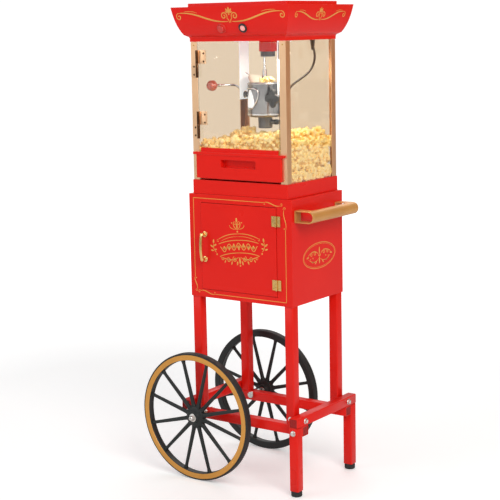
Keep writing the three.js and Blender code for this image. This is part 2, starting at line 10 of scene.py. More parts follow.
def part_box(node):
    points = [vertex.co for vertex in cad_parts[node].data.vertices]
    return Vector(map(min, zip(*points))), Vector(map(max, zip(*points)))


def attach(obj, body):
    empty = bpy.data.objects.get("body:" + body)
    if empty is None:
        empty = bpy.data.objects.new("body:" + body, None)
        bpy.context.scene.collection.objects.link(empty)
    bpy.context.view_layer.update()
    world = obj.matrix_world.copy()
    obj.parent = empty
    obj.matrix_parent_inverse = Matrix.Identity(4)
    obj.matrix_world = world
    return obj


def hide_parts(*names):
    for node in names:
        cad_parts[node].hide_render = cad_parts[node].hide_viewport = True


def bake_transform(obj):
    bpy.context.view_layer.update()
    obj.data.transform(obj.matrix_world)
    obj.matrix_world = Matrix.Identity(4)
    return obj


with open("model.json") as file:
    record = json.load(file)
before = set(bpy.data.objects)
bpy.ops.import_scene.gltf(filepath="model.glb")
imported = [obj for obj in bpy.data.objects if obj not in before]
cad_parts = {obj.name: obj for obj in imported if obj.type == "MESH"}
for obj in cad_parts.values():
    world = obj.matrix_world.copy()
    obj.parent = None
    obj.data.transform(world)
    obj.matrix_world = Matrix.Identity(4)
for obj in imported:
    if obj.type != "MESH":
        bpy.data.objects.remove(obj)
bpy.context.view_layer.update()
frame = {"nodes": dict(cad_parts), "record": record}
nodes = frame["nodes"]
bodyOf = {node: body for body, group in frame["record"]["behaviour"]["bodies"].items()
          for node in group}

# Lengths are in millimetres about the cabinet's centre line, and turned into metres by at()
mm = 0.001
boxLow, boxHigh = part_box("cabinet_body")
middle = Vector(((boxLow.x + boxHigh.x) / 2, (boxLow.y + boxHigh.y) / 2, 0))


def at(x, y, z):
    return middle + Vector((x, y, z)) * mm


def extent(node):
    # lowest and highest corner of a node, in the same millimetres
    low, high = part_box(node)
    return (low - middle) / mm, (high - middle) / mm


# ---- camera, light and floor ----

camera = {"x": 1958.8, "y": -2809.8, "z": 1162.1, "yaw": 35.6, "pitch": 9.45, "roll": -1.12,
          "lens": 97.07}


def makeCamera():
    yaw, pitch, roll = (math.radians(camera[k]) for k in ("yaw", "pitch", "roll"))
    right = Vector((math.cos(yaw), math.sin(yaw), 0))
    back = Vector((math.sin(yaw) * math.cos(pitch), -math.cos(yaw) * math.cos(pitch), math.sin(pitch)))
    up = back.cross(right)
    across = right * math.cos(roll) + up * math.sin(roll)
    above = up * math.cos(roll) - right * math.sin(roll)
    data = bpy.data.cameras.new("camera")
    data.lens = camera["lens"]
    data.clip_end = 30
    eye = bpy.data.objects.new("camera", data)
    turn = Matrix((across, above, back)).transposed().to_4x4()
    eye.matrix_world = Matrix.Translation(at(camera["x"], camera["y"], camera["z"])) @ turn
    bpy.context.scene.collection.objects.link(eye)
    bpy.context.scene.camera = eye


lights = {
    "key": {"place": (2300, -1500, 2300), "size": 1.6, "watts": 52, "colour": (1, 0.96, 0.9)},
    "fill": {"place": (-1900, -2400, 2250), "size": 2.2, "watts": 25, "colour": (0.97, 0.98, 1)},
    "back": {"place": (-900, 2300, 2400), "size": 2.2, "watts": 22, "colour": (1, 1, 1)},
    "chamber": {"place": (92, -38, 1072), "size": 0.06, "watts": 0.4, "colour": (1, 0.94, 0.84)}, }
stage = {"aim": (0, 0, 620), "worldLight": 0.45, "worldSeen": 1.05, "floorRadius": 7, "fadeFrom": 1.3,
         "fadeTo": 3.6, "glow": 0.85, "cardPlace": (1300, 1500, 1500), "cardAim": (150, 0, 1000),
         "cardScale": (1.5, 1.7, 1)}


def facing(place, aim, axis):
    return (at(*aim) - at(*place)).to_track_quat(axis, "Y").to_euler()


def makeLights():
    for name, setting in lights.items():
        data = bpy.data.lights.new(name, "AREA")
        data.size = setting["size"]
        data.energy = setting["watts"]
        data.color = setting["colour"]
        lamp = bpy.data.objects.new(name, data)
        lamp.location = at(*setting["place"])
        lamp.rotation_euler = facing(setting["place"], stage["aim"], "-Z")
        lamp.visible_camera = False
        bpy.context.scene.collection.objects.link(lamp)
    world = bpy.data.worlds.new("studio")
    bpy.context.scene.world = world
    world.use_nodes = True
    tree = world.node_tree
    # the backdrop is white in view and through glass, and gives a gentler light
    seen = eitherRay(tree, "Is Camera Ray", "Is Transmission Ray")
    setInputs(tree, tree.nodes["Background"], {
        "Color": (1, 1, 1), "Strength": ranged(tree, seen, 0, 1, stage["worldLight"],
                                               stage["worldSeen"])})
    bpy.context.scene.view_settings.view_transform = "Standard"


def stagePiece(name, bm):
    mesh = bpy.data.meshes.new(name)
    bm.to_mesh(mesh)
    bm.free()
    thing = bpy.data.objects.new(name, mesh)
    bpy.context.scene.collection.objects.link(thing)
    return thing, mesh


def makeFloor():
    bm = bmesh.new()
    bmesh.ops.create_circle(bm, cap_ends=True, segments=96, radius=stage["floorRadius"])
    floor, mesh = stagePiece("floor", bm)
    material, tree, shader = blankMaterial("paleFloor")
    grain = addNode(tree, "TexNoise", {"Scale": 3}).outputs["Fac"]
    tint = mixColours(tree, (0.93, 0.93, 0.93), (0.9, 0.9, 0.905), grain)
    # far from the cart the floor fades into the white of the backdrop
    place = objectPlace(tree)
    distance = addNode(tree, "VectorMath", {0: place}, operation="LENGTH").outputs["Value"]
    far = ranged(tree, distance, stage["fadeFrom"], stage["fadeTo"])
    glow = mixColours(tree, (0.3, 0.3, 0.3), (1, 1, 1), far)
    # that glow is only seen, and doesn't light the cart from below
    seen = eitherRay(tree, "Is Camera Ray", "Is Transmission Ray")
    setInputs(tree, shader, {"Base Color": tint, "Roughness": 0.7, "Emission Color": glow,
                             "Emission Strength": combine(tree, "MULTIPLY", seen, stage["glow"])})
    mesh.materials.append(material)


def makeCard():
    # a dark card beside the cart gives the polished metal something to mirror
    bm = bmesh.new()
    bmesh.ops.create_grid(bm, x_segments=1, y_segments=1, size=0.5)
    card, mesh = stagePiece("darkCard", bm)
    card.scale = stage["cardScale"]
    card.location = at(*stage["cardPlace"])
    card.rotation_euler = facing(stage["cardPlace"], stage["cardAim"], "Z")
    card.visible_camera = card.visible_shadow = card.visible_diffuse = False
    material, tree, shader = blankMaterial("cardBrown")
    setInputs(tree, shader, {"Base Color": (0.46, 0.21, 0.07), "Specular IOR Level": 0})
    mesh.materials.append(material)


# ---- shared surface effects ----

def setInputs(tree, node, values):
    # each socket takes a link, a colour or a number
    for label, value in values.items():
        socket = node.inputs[label]
        if isinstance(value, bpy.types.NodeSocket):
            tree.links.new(value, socket)
        else:
            isColour = socket.type == "RGBA" and len(value) == 3
            socket.default_value = (*value, 1) if isColour else value


def addNode(tree, kind, inputs=None, **settings):
    node = tree.nodes.new("ShaderNode" + kind)
    for name, value in settings.items():
        setattr(node, name, value)
    setInputs(tree, node, inputs or {})
    return node


def objectPlace(tree):
    return addNode(tree, "TexCoord").outputs["Object"]


def noiseOf(tree, vector, scale, detail=2.0, rough=0.5):
    return addNode(tree, "TexNoise", {"Detail": detail, "Roughness": rough, "Scale": scale,
                                      "Vector": vector}).outputs["Fac"]


def ranged(tree, value, low, high, toLow=0.0, toHigh=1.0):
    return addNode(tree, "MapRange", {"From Min": low, "From Max": high, "To Min": toLow,
                                      "To Max": toHigh, "Value": value}).outputs["Result"]


def combine(tree, kind, a, b):
    return addNode(tree, "Math", {0: a, 1: b}, operation=kind).outputs[0]


def eitherRay(tree, one, other):
    path = addNode(tree, "LightPath").outputs
    return combine(tree, "MAXIMUM", path[one], path[other])


def mixColours(tree, a, b, factor):
    return addNode(tree, "Mix", {"Factor": factor, 6: a, 7: b}, data_type="RGBA").outputs[2]


def newGroup(name, inputs, outputs):
    group = bpy.data.node_groups.new(name, "ShaderNodeTree")
    for label, value in inputs.items():
        socket = group.interface.new_socket(label, in_out="INPUT", socket_type="NodeSocketFloat")
        socket.default_value = value
    for label in outputs:
        group.interface.new_socket(label, in_out="OUTPUT", socket_type="NodeSocketFloat")
    return group, group.nodes.new("NodeGroupInput").outputs, group.nodes.new("NodeGroupOutput")


def makeGroups():
    # a paint or moulding skin: fine ripple, and slow drifts of tone
    skin, into, out = newGroup("surfaceSkin", {"Scale": 600.0}, ["Ripple", "Drift"])
    place = objectPlace(skin)
    setInputs(skin, out, {
        "Ripple": noiseOf(skin, place, into["Scale"]),
        "Drift": ranged(skin, noiseOf(skin, place, 7.0, 4.0), 0.3, 0.7)})

    # where a corner is rubbed, and a painted highlight along every edge: the rounded normal leaves the
    # flat one
    edgeWearAndHighlightGroup, into, out = newGroup("wornAndHighlitEdges", {"Radius": 0.0015, "Amount": 1.0}, ["Mask"])
    bevel = addNode(edgeWearAndHighlightGroup, "Bevel", {"Radius": into["Radius"]}, samples=4).outputs["Normal"]
    flat = addNode(edgeWearAndHighlightGroup, "NewGeometry").outputs["Normal"]
    turned = addNode(edgeWearAndHighlightGroup, "VectorMath", {0: bevel, 1: flat}, operation="DOT_PRODUCT")
    edge = ranged(edgeWearAndHighlightGroup, turned.outputs["Value"], 0.995, 0.86)
    broken = ranged(edgeWearAndHighlightGroup, noiseOf(edgeWearAndHighlightGroup, objectPlace(edgeWearAndHighlightGroup), 160.0, 4.0, 0.65), 0.4, 0.62)
    mask = combine(edgeWearAndHighlightGroup, "MULTIPLY", combine(edgeWearAndHighlightGroup, "MULTIPLY", edge, broken), into["Amount"])
    setInputs(edgeWearAndHighlightGroup, out, {"Mask": mask})

    # long scratches of a brushed or drawn metal
    drawn, into, out = newGroup("drawnMetal", {"Fine": 60.0, "Length": 3.0}, ["Scratch", "Cloud"])
    place = objectPlace(drawn)
    stretch = addNode(drawn, "CombineXYZ", {"X": into["Fine"], "Y": into["Fine"],
                                            "Z": into["Length"]})
    scaled = addNode(drawn, "VectorMath", {0: place, 1: stretch.outputs["Vector"]},
                     operation="MULTIPLY").outputs["Vector"]
    setInputs(drawn, out, {
        "Scratch": noiseOf(drawn, scaled, 14.0, 4.0, 0.6),
        "Cloud": ranged(drawn, noiseOf(drawn, place, 22.0, 3.0), 0.3, 0.7)})

    # a little dust on faces that look up
    dust, into, out = newGroup("settledDust", {"Amount": 0.3}, ["Mask"])
    normal = addNode(dust, "NewGeometry").outputs["Normal"]
    split = addNode(dust, "SeparateXYZ", {"Vector": normal})
    place = objectPlace(dust)
    flat = ranged(dust, split.outputs["Z"], 0.55, 0.98)
    patch = ranged(dust, noiseOf(dust, place, 45.0, 5.0, 0.6), 0.35, 0.75)
    mask = combine(dust, "MULTIPLY", combine(dust, "MULTIPLY", flat, patch), into["Amount"])
    setInputs(dust, out, {"Mask": mask})


# ---- materials ----

def blankMaterial(name):
    material = bpy.data.materials.new(name)
    material.use_nodes = True
    return material, material.node_tree, material.node_tree.nodes["Principled BSDF"]


def useGroup(tree, name, **values):
    node = tree.nodes.new("ShaderNodeGroup")
    node.node_tree = bpy.data.node_groups[name]
    setInputs(tree, node, values)
    return node.outputs


def addBump(tree, shader, height, strength, distance=0.0002):
    bump = addNode(tree, "Bump", {"Strength": strength, "Distance": distance, "Height": height})
    setInputs(tree, shader, {"Normal": bump.outputs["Normal"]})


def coated(name, colour, darker, edge, roughness, ripple=600, bump=0.12, metallic=0.0,
           coat=0.0, edgeWearAndHighlight=0.5, dust=0.08, specular=0.5):
    # paint, plastic or rubber: skin ripple, drifting tone, edges lightened as rubbed wear and as a
    # painted highlight, and a trace of dust
    material, tree, shader = blankMaterial(name)
    skin = useGroup(tree, "surfaceSkin", Scale=ripple)
    edgeWearAndHighlightMask = useGroup(tree, "wornAndHighlitEdges", Amount=edgeWearAndHighlight)["Mask"]
    settled = useGroup(tree, "settledDust", Amount=dust)["Mask"]
    tone = mixColours(tree, darker, colour, skin["Drift"])
    # the lighter edge colour is partly rubbed wear and partly a painted highlight
    tone = mixColours(tree, tone, edge, edgeWearAndHighlightMask)
    tone = mixColours(tree, tone, (0.62, 0.58, 0.52), settled)
    base = ranged(tree, skin["Drift"], 0, 1, roughness + 0.04, roughness - 0.03)
    dusty = combine(tree, "MULTIPLY", settled, 0.5)
    setInputs(tree, shader, {
        "Base Color": tone, "Roughness": combine(tree, "ADD", base, dusty),
        "Metallic": metallic, "Specular IOR Level": specular, "Coat Weight": coat,
        "Coat Roughness": 0.08})
    addBump(tree, shader, skin["Ripple"], bump)
    return material


def metal(name, colour, darker, roughness, fine=60.0, length=3.0, bump=0.15, edge=None):
    material, tree, shader = blankMaterial(name)
    grain = useGroup(tree, "drawnMetal", Fine=fine, Length=length)
    edgeWearAndHighlightMask = useGroup(tree, "wornAndHighlitEdges", Amount=0.4)["Mask"]
    tone = mixColours(tree, darker, colour, grain["Cloud"])
    # where an edge colour is given, it is partly rubbed wear and partly a painted highlight
    tone = mixColours(tree, tone, edge or colour, edgeWearAndHighlightMask)
    spread = ranged(tree, grain["Scratch"], 0.25, 0.75, roughness * 0.7, roughness * 1.35)
    setInputs(tree, shader, {"Base Color": tone, "Roughness": spread, "Metallic": 1})
    addBump(tree, shader, grain["Scratch"], bump, 0.0001)
    return material


def pane(name, tint, roughness):
    # light and shadow pass straight through a thin pane, only the view of it refracts
    material, tree, shader = blankMaterial(name)
    smear = useGroup(tree, "surfaceSkin", Scale=18)
    setInputs(tree, shader, {
        "Base Color": tint, "Transmission Weight": 1, "IOR": 1.46, "Specular IOR Level": 0.1,
        "Roughness": ranged(tree, smear["Drift"], 0, 1, roughness, roughness * 3)})
    clear = addNode(tree, "BsdfTransparent", {"Color": tint})
    through = eitherRay(tree, "Is Shadow Ray", "Is Diffuse Ray")
    mix = addNode(tree, "MixShader", {"Fac": through, 1: shader.outputs["BSDF"],
                                      2: clear.outputs["BSDF"]})
    setInputs(tree, tree.nodes["Material Output"], {"Surface": mix.outputs["Shader"]})
    return material


def cornMaterial():
    # pale foam on the tops of the lobes, buttery yellow in the creases
    material, tree, shader = blankMaterial("poppedCorn")
    fold = addNode(tree, "Attribute", attribute_name="fold").outputs["Fac"]
    place = objectPlace(tree)
    butter = ranged(tree, noiseOf(tree, place, 38.0, 3.0), 0.38, 0.62)
    ramp = addNode(tree, "ValToRGB", {"Fac": fold})
    stops = [(0.0, (0.56, 0.29, 0.05, 1)), (0.2, (0.82, 0.51, 0.11, 1)),
             (0.42, (0.89, 0.64, 0.22, 1)), (0.8, (0.91, 0.75, 0.38, 1))]
    elements = ramp.color_ramp.elements
    while len(elements) < len(stops):
        elements.new(0.5)
    for element, (where, colour) in zip(elements, stops):
        element.position = where
        element.color = colour
    pale = mixColours(tree, (0.87, 0.60, 0.18), (0.89, 0.74, 0.41), butter)
    crown = ranged(tree, fold, 0.45, 1.0, 0.0, 0.75)
    # a faint painted glow over all the corn lifts the shade between the kernels
    setInputs(tree, shader, {
        "Base Color": mixColours(tree, ramp.outputs["Color"], pale, crown),
        "Roughness": 0.62, "Emission Color": (1, 0.7, 0.25), "Emission Strength": 0.12,
        "Subsurface Weight": 0.12, "Subsurface Radius": (0.004, 0.003, 0.0015),
        "Subsurface Scale": 1})
    addBump(tree, shader, noiseOf(tree, place, 520.0, 3.0), 0.5, 0.0006)
    return material


def makeMaterials():
    # each coated finish's third colour is its lighter edge colour: partly rubbed wear, partly a painted
    # highlight
    made = {
        "red": coated("redEnamel", (0.81, 0.015, 0.008), (0.76, 0.012, 0.007),
                      (0.88, 0.10, 0.06), 0.3, coat=0.1, bump=0.08, edgeWearAndHighlight=0.4,
                      dust=0.025, specular=0.15),
        "plugRed": coated("plugRed", (0.36, 0.010, 0.008), (0.28, 0.008, 0.007),
                          (0.5, 0.05, 0.04), 0.5, bump=0.2, edgeWearAndHighlight=0.3, specular=0.3),
        "wheelBlack": coated("wheelBlack", (0.022, 0.027, 0.027), (0.015, 0.018, 0.018),
                             (0.10, 0.11, 0.11), 0.42, ripple=900, bump=0.2, edgeWearAndHighlight=0.35, specular=0.3),
        "tread": coated("treadRubber", (0.013, 0.014, 0.015), (0.020, 0.020, 0.021),
                        (0.06, 0.06, 0.06), 0.62, ripple=1300, bump=0.4, edgeWearAndHighlight=0.3, dust=0.18),
        "goldRing": coated("goldRingPaint", (0.70, 0.33, 0.06), (0.62, 0.28, 0.045),
                           (0.80, 0.50, 0.16), 0.36, ripple=1000, bump=0.1, metallic=0.25, edgeWearAndHighlight=0.4),
        "goldLine": coated("goldLinePaint", (0.86, 0.40, 0.07), (0.76, 0.32, 0.05),
                           (0.95, 0.60, 0.2), 0.4, ripple=1500, bump=0.15, metallic=0.15,
                           edgeWearAndHighlight=0.2, dust=0),
        "handleGold": coated("handleGold", (0.72, 0.36, 0.10), (0.60, 0.28, 0.07),
                             (0.86, 0.56, 0.26), 0.4, ripple=700, bump=0.3, metallic=0.3, edgeWearAndHighlight=0.5),
        "postGold": metal("polishedGoldPost", (0.95, 0.62, 0.37), (0.90, 0.57, 0.33), 0.42,
                          fine=70, length=2.0, bump=0.08),
        "brass": metal("polishedBrass", (0.88, 0.62, 0.24), (0.76, 0.48, 0.15), 0.2, fine=40,
                       length=12, bump=0.1),
        "bronze": metal("darkBronze", (0.16, 0.075, 0.035), (0.09, 0.04, 0.02), 0.32, fine=40,
                        length=12, bump=0.15, edge=(0.5, 0.28, 0.12)),
        "steel": metal("brushedSteel", (0.66, 0.66, 0.67), (0.50, 0.50, 0.52), 0.25, fine=8,
                       length=110, bump=0.12),
        "polishedSteel": metal("polishedSteel", (0.72, 0.72, 0.73), (0.56, 0.56, 0.58), 0.15,
                               fine=30, length=20, bump=0.06),
        "zinc": metal("zincBolt", (0.80, 0.79, 0.76), (0.62, 0.60, 0.57), 0.24, fine=30,
                      length=30, bump=0.1),
        "floorSteel": metal("pressedSteel", (0.62, 0.62, 0.62), (0.48, 0.48, 0.48), 0.33,
                            fine=4, length=60, bump=0.1),
        "potSteel": metal("potSteel", (0.29, 0.29, 0.30), (0.19, 0.19, 0.20), 0.15, fine=8,
                          length=110, bump=0.1),
        "white": coated("whiteEnamel", (0.80, 0.81, 0.84), (0.74, 0.75, 0.78),
                        (0.86, 0.86, 0.88), 0.32, coat=0.3, bump=0.08, edgeWearAndHighlight=0.3),
        "grey": coated("greyCasting", (0.135, 0.14, 0.155), (0.105, 0.11, 0.125),
                       (0.3, 0.3, 0.32), 0.46, ripple=420, bump=0.4, metallic=0.3),
        "amber": coated("amberKnob", (0.50, 0.085, 0.035), (0.40, 0.06, 0.025),
                        (0.7, 0.22, 0.12), 0.14, ripple=160, bump=0.05, coat=0.8, edgeWearAndHighlight=0.1, dust=0),
        "black": coated("blackMoulding", (0.018, 0.019, 0.020), (0.012, 0.013, 0.014),
                        (0.09, 0.09, 0.09), 0.34, ripple=1100, bump=0.2, edgeWearAndHighlight=0.35),
        "lead": coated("leadRubber", (0.020, 0.019, 0.019), (0.013, 0.012, 0.012),
                       (0.06, 0.06, 0.06), 0.5, ripple=900, bump=0.25, edgeWearAndHighlight=0.2),
        "redPlastic": coated("redButton", (0.72, 0.035, 0.022), (0.62, 0.025, 0.016),
                             (0.85, 0.2, 0.14), 0.28, ripple=900, bump=0.08, coat=0.3),
        "tinted": pane("tintedPane", (0.81, 0.66, 0.49), 0.015),
        "faintTint": pane("faintTintPane", (0.98, 0.95, 0.89), 0.015),
        "clear": pane("clearPane", (0.972, 0.957, 0.925), 0.012),
        "corn": cornMaterial(), }
    # painted glow: the white enamel gives off a faint light of its own, so that it stays white in the
    # shade of the chamber
    white = made["white"].node_tree
    setInputs(white, white.nodes["Principled BSDF"], {"Emission Color": (0.9, 0.96, 1),
                                                      "Emission Strength": 0.55})
    made["lens"], tree, shader = blankMaterial("pinkLens")
    drift = useGroup(tree, "surfaceSkin", Scale=500)["Drift"]
    setInputs(tree, shader, {
        "Base Color": mixColours(tree, (0.95, 0.34, 0.32), (0.98, 0.50, 0.46), drift),
        "Roughness": 0.12, "Subsurface Weight": 0.4, "Subsurface Radius": (0.004, 0.002, 0.002),
        "Emission Color": (1, 0.22, 0.18), "Emission Strength": 0.12})
    made["bulb"], tree, shader = blankMaterial("frostedBulb")
    drift = useGroup(tree, "surfaceSkin", Scale=900)["Drift"]
    setInputs(tree, shader, {
        "Base Color": mixColours(tree, (0.93, 0.9, 0.82), (0.98, 0.96, 0.9), drift),
        "Roughness": 0.4, "Emission Color": (1, 0.86, 0.62), "Emission Strength": 1.2})
    return made


# ---- making pieces ----

def finishPiece(name, mesh, material, body, standsFor=(), angle=32, bevel=0.0, segments=2):
    mesh.materials.clear()
    mesh.materials.append(materials[material])
    for face in mesh.polygons:
        face.use_smooth = True
    mesh.set_sharp_from_angle(angle=math.radians(angle))
    piece = bpy.data.objects.new(name, mesh)
    bpy.context.scene.collection.objects.link(piece)
    if bevel:
        rounding = piece.modifiers.new("rounding", "BEVEL")
        rounding.width = bevel * mm
        rounding.segments = segments
        rounding.limit_method = "ANGLE"
        rounding.angle_limit = math.radians(angle)
        rounding.harden_normals = True
    if body:
        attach(piece, body)
    if standsFor:
        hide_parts(*standsFor)
    return piece


def meshOf(name, bm):
    bmesh.ops.recalc_face_normals(bm, faces=bm.faces)
    mesh = bpy.data.meshes.new(name)
    bm.to_mesh(mesh)
    bm.free()
    return mesh


def addPiece(name, bm, *rest, **more):
    return finishPiece(name, meshOf(name, bm), *rest, **more)


def softened(node, material, bevel, segments=2, angle=32):
    # the node's own shape, with its flat faces made whole and its edges rounded
    bm = bmesh.new()
    bm.from_mesh(nodes[node].data)
    bmesh.ops.remove_doubles(bm, verts=bm.verts, dist=2e-6)
    bmesh.ops.dissolve_limit(bm, angle_limit=math.radians(0.6), verts=bm.verts, edges=bm.edges)
    return addPiece(node + "_form", bm, material, bodyOf[node], [node], angle, bevel, segments)


def bridge(bm, a, b):
    # faces between two rings of corners; a ring of one corner closes as a fan
    count = max(len(a), len(b))
    for i in range(count):
        j = (i + 1) % count
        corners = (a[i % len(a)], a[j % len(a)], b[j % len(b)], b[i % len(b)])
        unique = list(dict.fromkeys(corners))
        if len(unique) > 2:
            bm.faces.new(unique)


def addTurned(bm, profile, place, axis=Vector((0, 0, 1)), sides=64):
    # profile: (radius, distance along the axis) pairs in mm, place in metres
    turn = axis.normalized().to_track_quat("Z", "Y")
    rings = []
    for radius, along in profile:
        if radius < 1e-6:
            rings.append([bm.verts.new(place + turn @ Vector((0, 0, along * mm)))])
            continue
        rings.append([bm.verts.new(place + turn @ Vector((
            radius * mm * math.cos(2 * math.pi * i / sides),
            radius * mm * math.sin(2 * math.pi * i / sides), along * mm)))
            for i in range(sides)])
    for a, b in zip(rings, rings[1:]):
        bridge(bm, a, b)
    for ring in (rings[0], rings[-1]):
        if len(ring) > 2 and profile[0] != profile[-1]:
            bm.faces.new(ring)
    if profile[0] == profile[-1]:
        bmesh.ops.remove_doubles(bm, verts=rings[0] + rings[-1], dist=1e-7)


def turned(name, profile, place, axis, material, body, standsFor=(), sides=64, angle=32):
    bm = bmesh.new()
    addTurned(bm, profile, place, axis, sides)
    return addPiece(name, bm, material, body, standsFor, angle)


def rounded(profile, radius=0.6, steps=3):
    # the same outline with each inside corner drawn as a small arc
    result = [profile[0]]
    for before, corner, after in zip(profile, profile[1:], profile[2:]):
        b, c, a = Vector(before), Vector(corner), Vector(after)
        reach = min(radius, (b - c).length / 2, (a - c).length / 2)
        if reach < 1e-4:
            result.append(corner)
            continue
        p, q = c + (b - c).normalized() * reach, c + (a - c).normalized() * reach
        for i in range(steps + 1):
            t = i / steps
            point = p * (1 - t) ** 2 + c * 2 * t * (1 - t) + q * t ** 2
            result.append((point.x, point.y))
    return result + [profile[-1]]


def smoothPath(points, steps=8):
    # a Catmull-Rom line through points given as mm triples about the centre line
    line = [at(*p) for p in points]
    line = [line[0] * 2 - line[1]] + line + [line[-1] * 2 - line[-2]]
    path = []
    for p0, p1, p2, p3 in zip(line, line[1:], line[2:], line[3:]):
        for i in range(steps):
            t = i / steps
            path.append(0.5 * (2 * p1 + (p2 - p0) * t + (2 * p0 - 5 * p1 + 4 * p2 - p3) * t ** 2
                               + (3 * p1 - p0 - 3 * p2 + p3) * t ** 3))
    return path + [line[-2]]


def addSwept(bm, path, radiusAt, sides=16):
    # a round bar along a path, with its frame carried along so that it never twists
    side = None
    rings = []
    last = len(path) - 1
    for i, point in enumerate(path):
        along = (path[min(i + 1, last)] - path[max(i - 1, 0)]).normalized()
        if side is None:
            side = along.orthogonal().normalized()
        side = (side - along * side.dot(along)).normalized()
        over = along.cross(side)
        radius = radiusAt(i / last) * mm
        rings.append([bm.verts.new(point + (side * math.cos(a) + over * math.sin(a)) * radius)
                      for a in (2 * math.pi * k / sides for k in range(sides))])
    for a, b in zip(rings, rings[1:]):
        bridge(bm, a, b)
    bm.faces.new(rings[0])
    bm.faces.new(rings[-1])


def addBox(bm, low, high):
    # corners in mm
    made = bmesh.ops.create_cube(bm, size=1)["verts"]
    a, b = at(*low), at(*high)
    for v in made:
        v.co = Vector([(p + q) / 2 + s * (q - p) for p, q, s in zip(a, b, v.co)])
    return made


front, rear = Vector((0, -1, 0)), Vector((0, 1, 0))
leftward, rightward = Vector((-1, 0, 0)), Vector((1, 0, 0))
upward, downward = Vector((0, 0, 1)), Vector((0, 0, -1))


def addScrew(bm, place, facing, radius=2.2, height=0.9):
    # a low domed screw head, its cross recess cut as a dished middle
    addTurned(bm, [(0, height * 0.45), (radius * 0.32, height * 0.5), (radius * 0.42, height * 1.0),
                   (radius * 0.75, height * 0.85), (radius, height * 0.35), (radius, -0.2),
                   (0, -0.2)], place, facing, 20)


def addBolt(bm, place, facing, across=10.0, height=4.5, washer=7.2):
    # washer, hexagon and chamfered crown
    addTurned(bm, rounded([(0, 1.3), (washer - 1.2, 1.3), (washer, 0.9), (washer, 0), (0, 0)],
                          0.3), place, facing, 32)
    r = across / math.sqrt(3)
    addTurned(bm, [(0, height + 1.3), (r * 0.72, height + 1.3), (r, height + 0.6), (r, 1.25),
                   (0, 1.25)], place, facing, 6)


# ---- stand ----

stand = {"cornerRadius": 2.6, "wall": 1.5, "cornerSteps": 4}


def roundedSquare(half, radius, steps):
    points = []
    for k, (sx, sy) in enumerate(((1, 1), (-1, 1), (-1, -1), (1, -1))):
        for i in range(steps + 1):
            a = math.pi / 2 * (k + i / steps)
            points.append((sx * (half[0] - radius) + radius * math.cos(a),
                           sy * (half[1] - radius) + radius * math.sin(a)))
    return points


def squareTube(node, axis):
    low, high = extent(node)
    other = [k for k in range(3) if k != axis]
    centre = (low + high) / 2
    half = [(high[k] - low[k]) / 2 for k in other]
    outer = roundedSquare(half, stand["cornerRadius"], stand["cornerSteps"])
    inner = roundedSquare([h - stand["wall"] for h in half],
                          stand["cornerRadius"] - stand["wall"], stand["cornerSteps"])
    bm = bmesh.new()
    rings = []
    soft = 0.35
    for outline, along, shrink in ((outer, low[axis] + soft, 0), (outer, high[axis] - soft, 0),
                                   (outer, high[axis], soft), (inner, high[axis], 0),
                                   (inner, low[axis], 0), (outer, low[axis], soft)):
        ring = []
        for u, v in outline:
            place = Vector(centre)
            place[axis] = along
            length = math.hypot(u, v)
            place[other[0]] += u * (1 - shrink / length)
            place[other[1]] += v * (1 - shrink / length)
            ring.append(bm.verts.new(at(*place)))
        rings.append(ring)
    for a, b in zip(rings, rings[1:] + rings[:1]):
        bridge(bm, a, b)
    addPiece(node + "_tube", bm, "red", "cart", [node], 40)


def tubePlug(name, node, axis, sign):
    # a dark red cap pressed into an open tube end
    low, high = extent(node)
    centre = (low + high) / 2
    inset = stand["wall"] + 0.3
    a, b = Vector(low), Vector(high)
    for k in range(3):
        if k != axis:
            a[k] += inset
            b[k] -= inset
    end = high[axis] if sign > 0 else low[axis]
    a[axis], b[axis] = sorted((end - sign * 12, end - sign * 0.6))
    bm = bmesh.new()
    addBox(bm, a, b)
    addBox(bm, [c - 5 if k != axis else min(a[axis], end) for k, c in enumerate(centre)],
           [c + 5 if k != axis else max(b[axis], end) for k, c in enumerate(centre)])
    addPiece(name, bm, "plugRed", "cart", bevel=0.7)


def makeStand():
    for end in ("front", "rear"):
        squareTube("cross_rail_" + end, 0)
        squareTube("lower_leg_" + end, 2)
        for side in ("left", "right"):
            squareTube("upper_leg_%s_%s" % (end, side), 2)
            tubePlug("plug_cross_%s_%s" % (end, side), "cross_rail_" + end, 0,
                     1 if side == "right" else -1)
        low, high = extent("foot_" + end)
        centre = (low + high) / 2
        r, h = (high.x - low.x) / 2, high.z
        profile = [(0, 0), (r - 3, 0), (r - 1, 1), (r, 3), (r, 5.2), (r - 0.8, 5.8),
                   (r - 0.8, 6.6), (r, 7.2), (r, h - 2.5), (r - 1.2, h - 0.6), (r - 2.5, h),
                   (0, h)]
        turned("foot_%s_pad" % end, rounded(profile, 0.5), at(centre.x, centre.y, 0), upward,
               "tread", "cart", ["foot_" + end])
    for side in ("left", "right"):
        squareTube("side_rail_" + side, 1)
        for end, sign in (("front", -1), ("rear", 1)):
            tubePlug("plug_side_%s_%s" % (side, end), "side_rail_" + side, 1, sign)
    makeStandBolts()
    print("stand made")


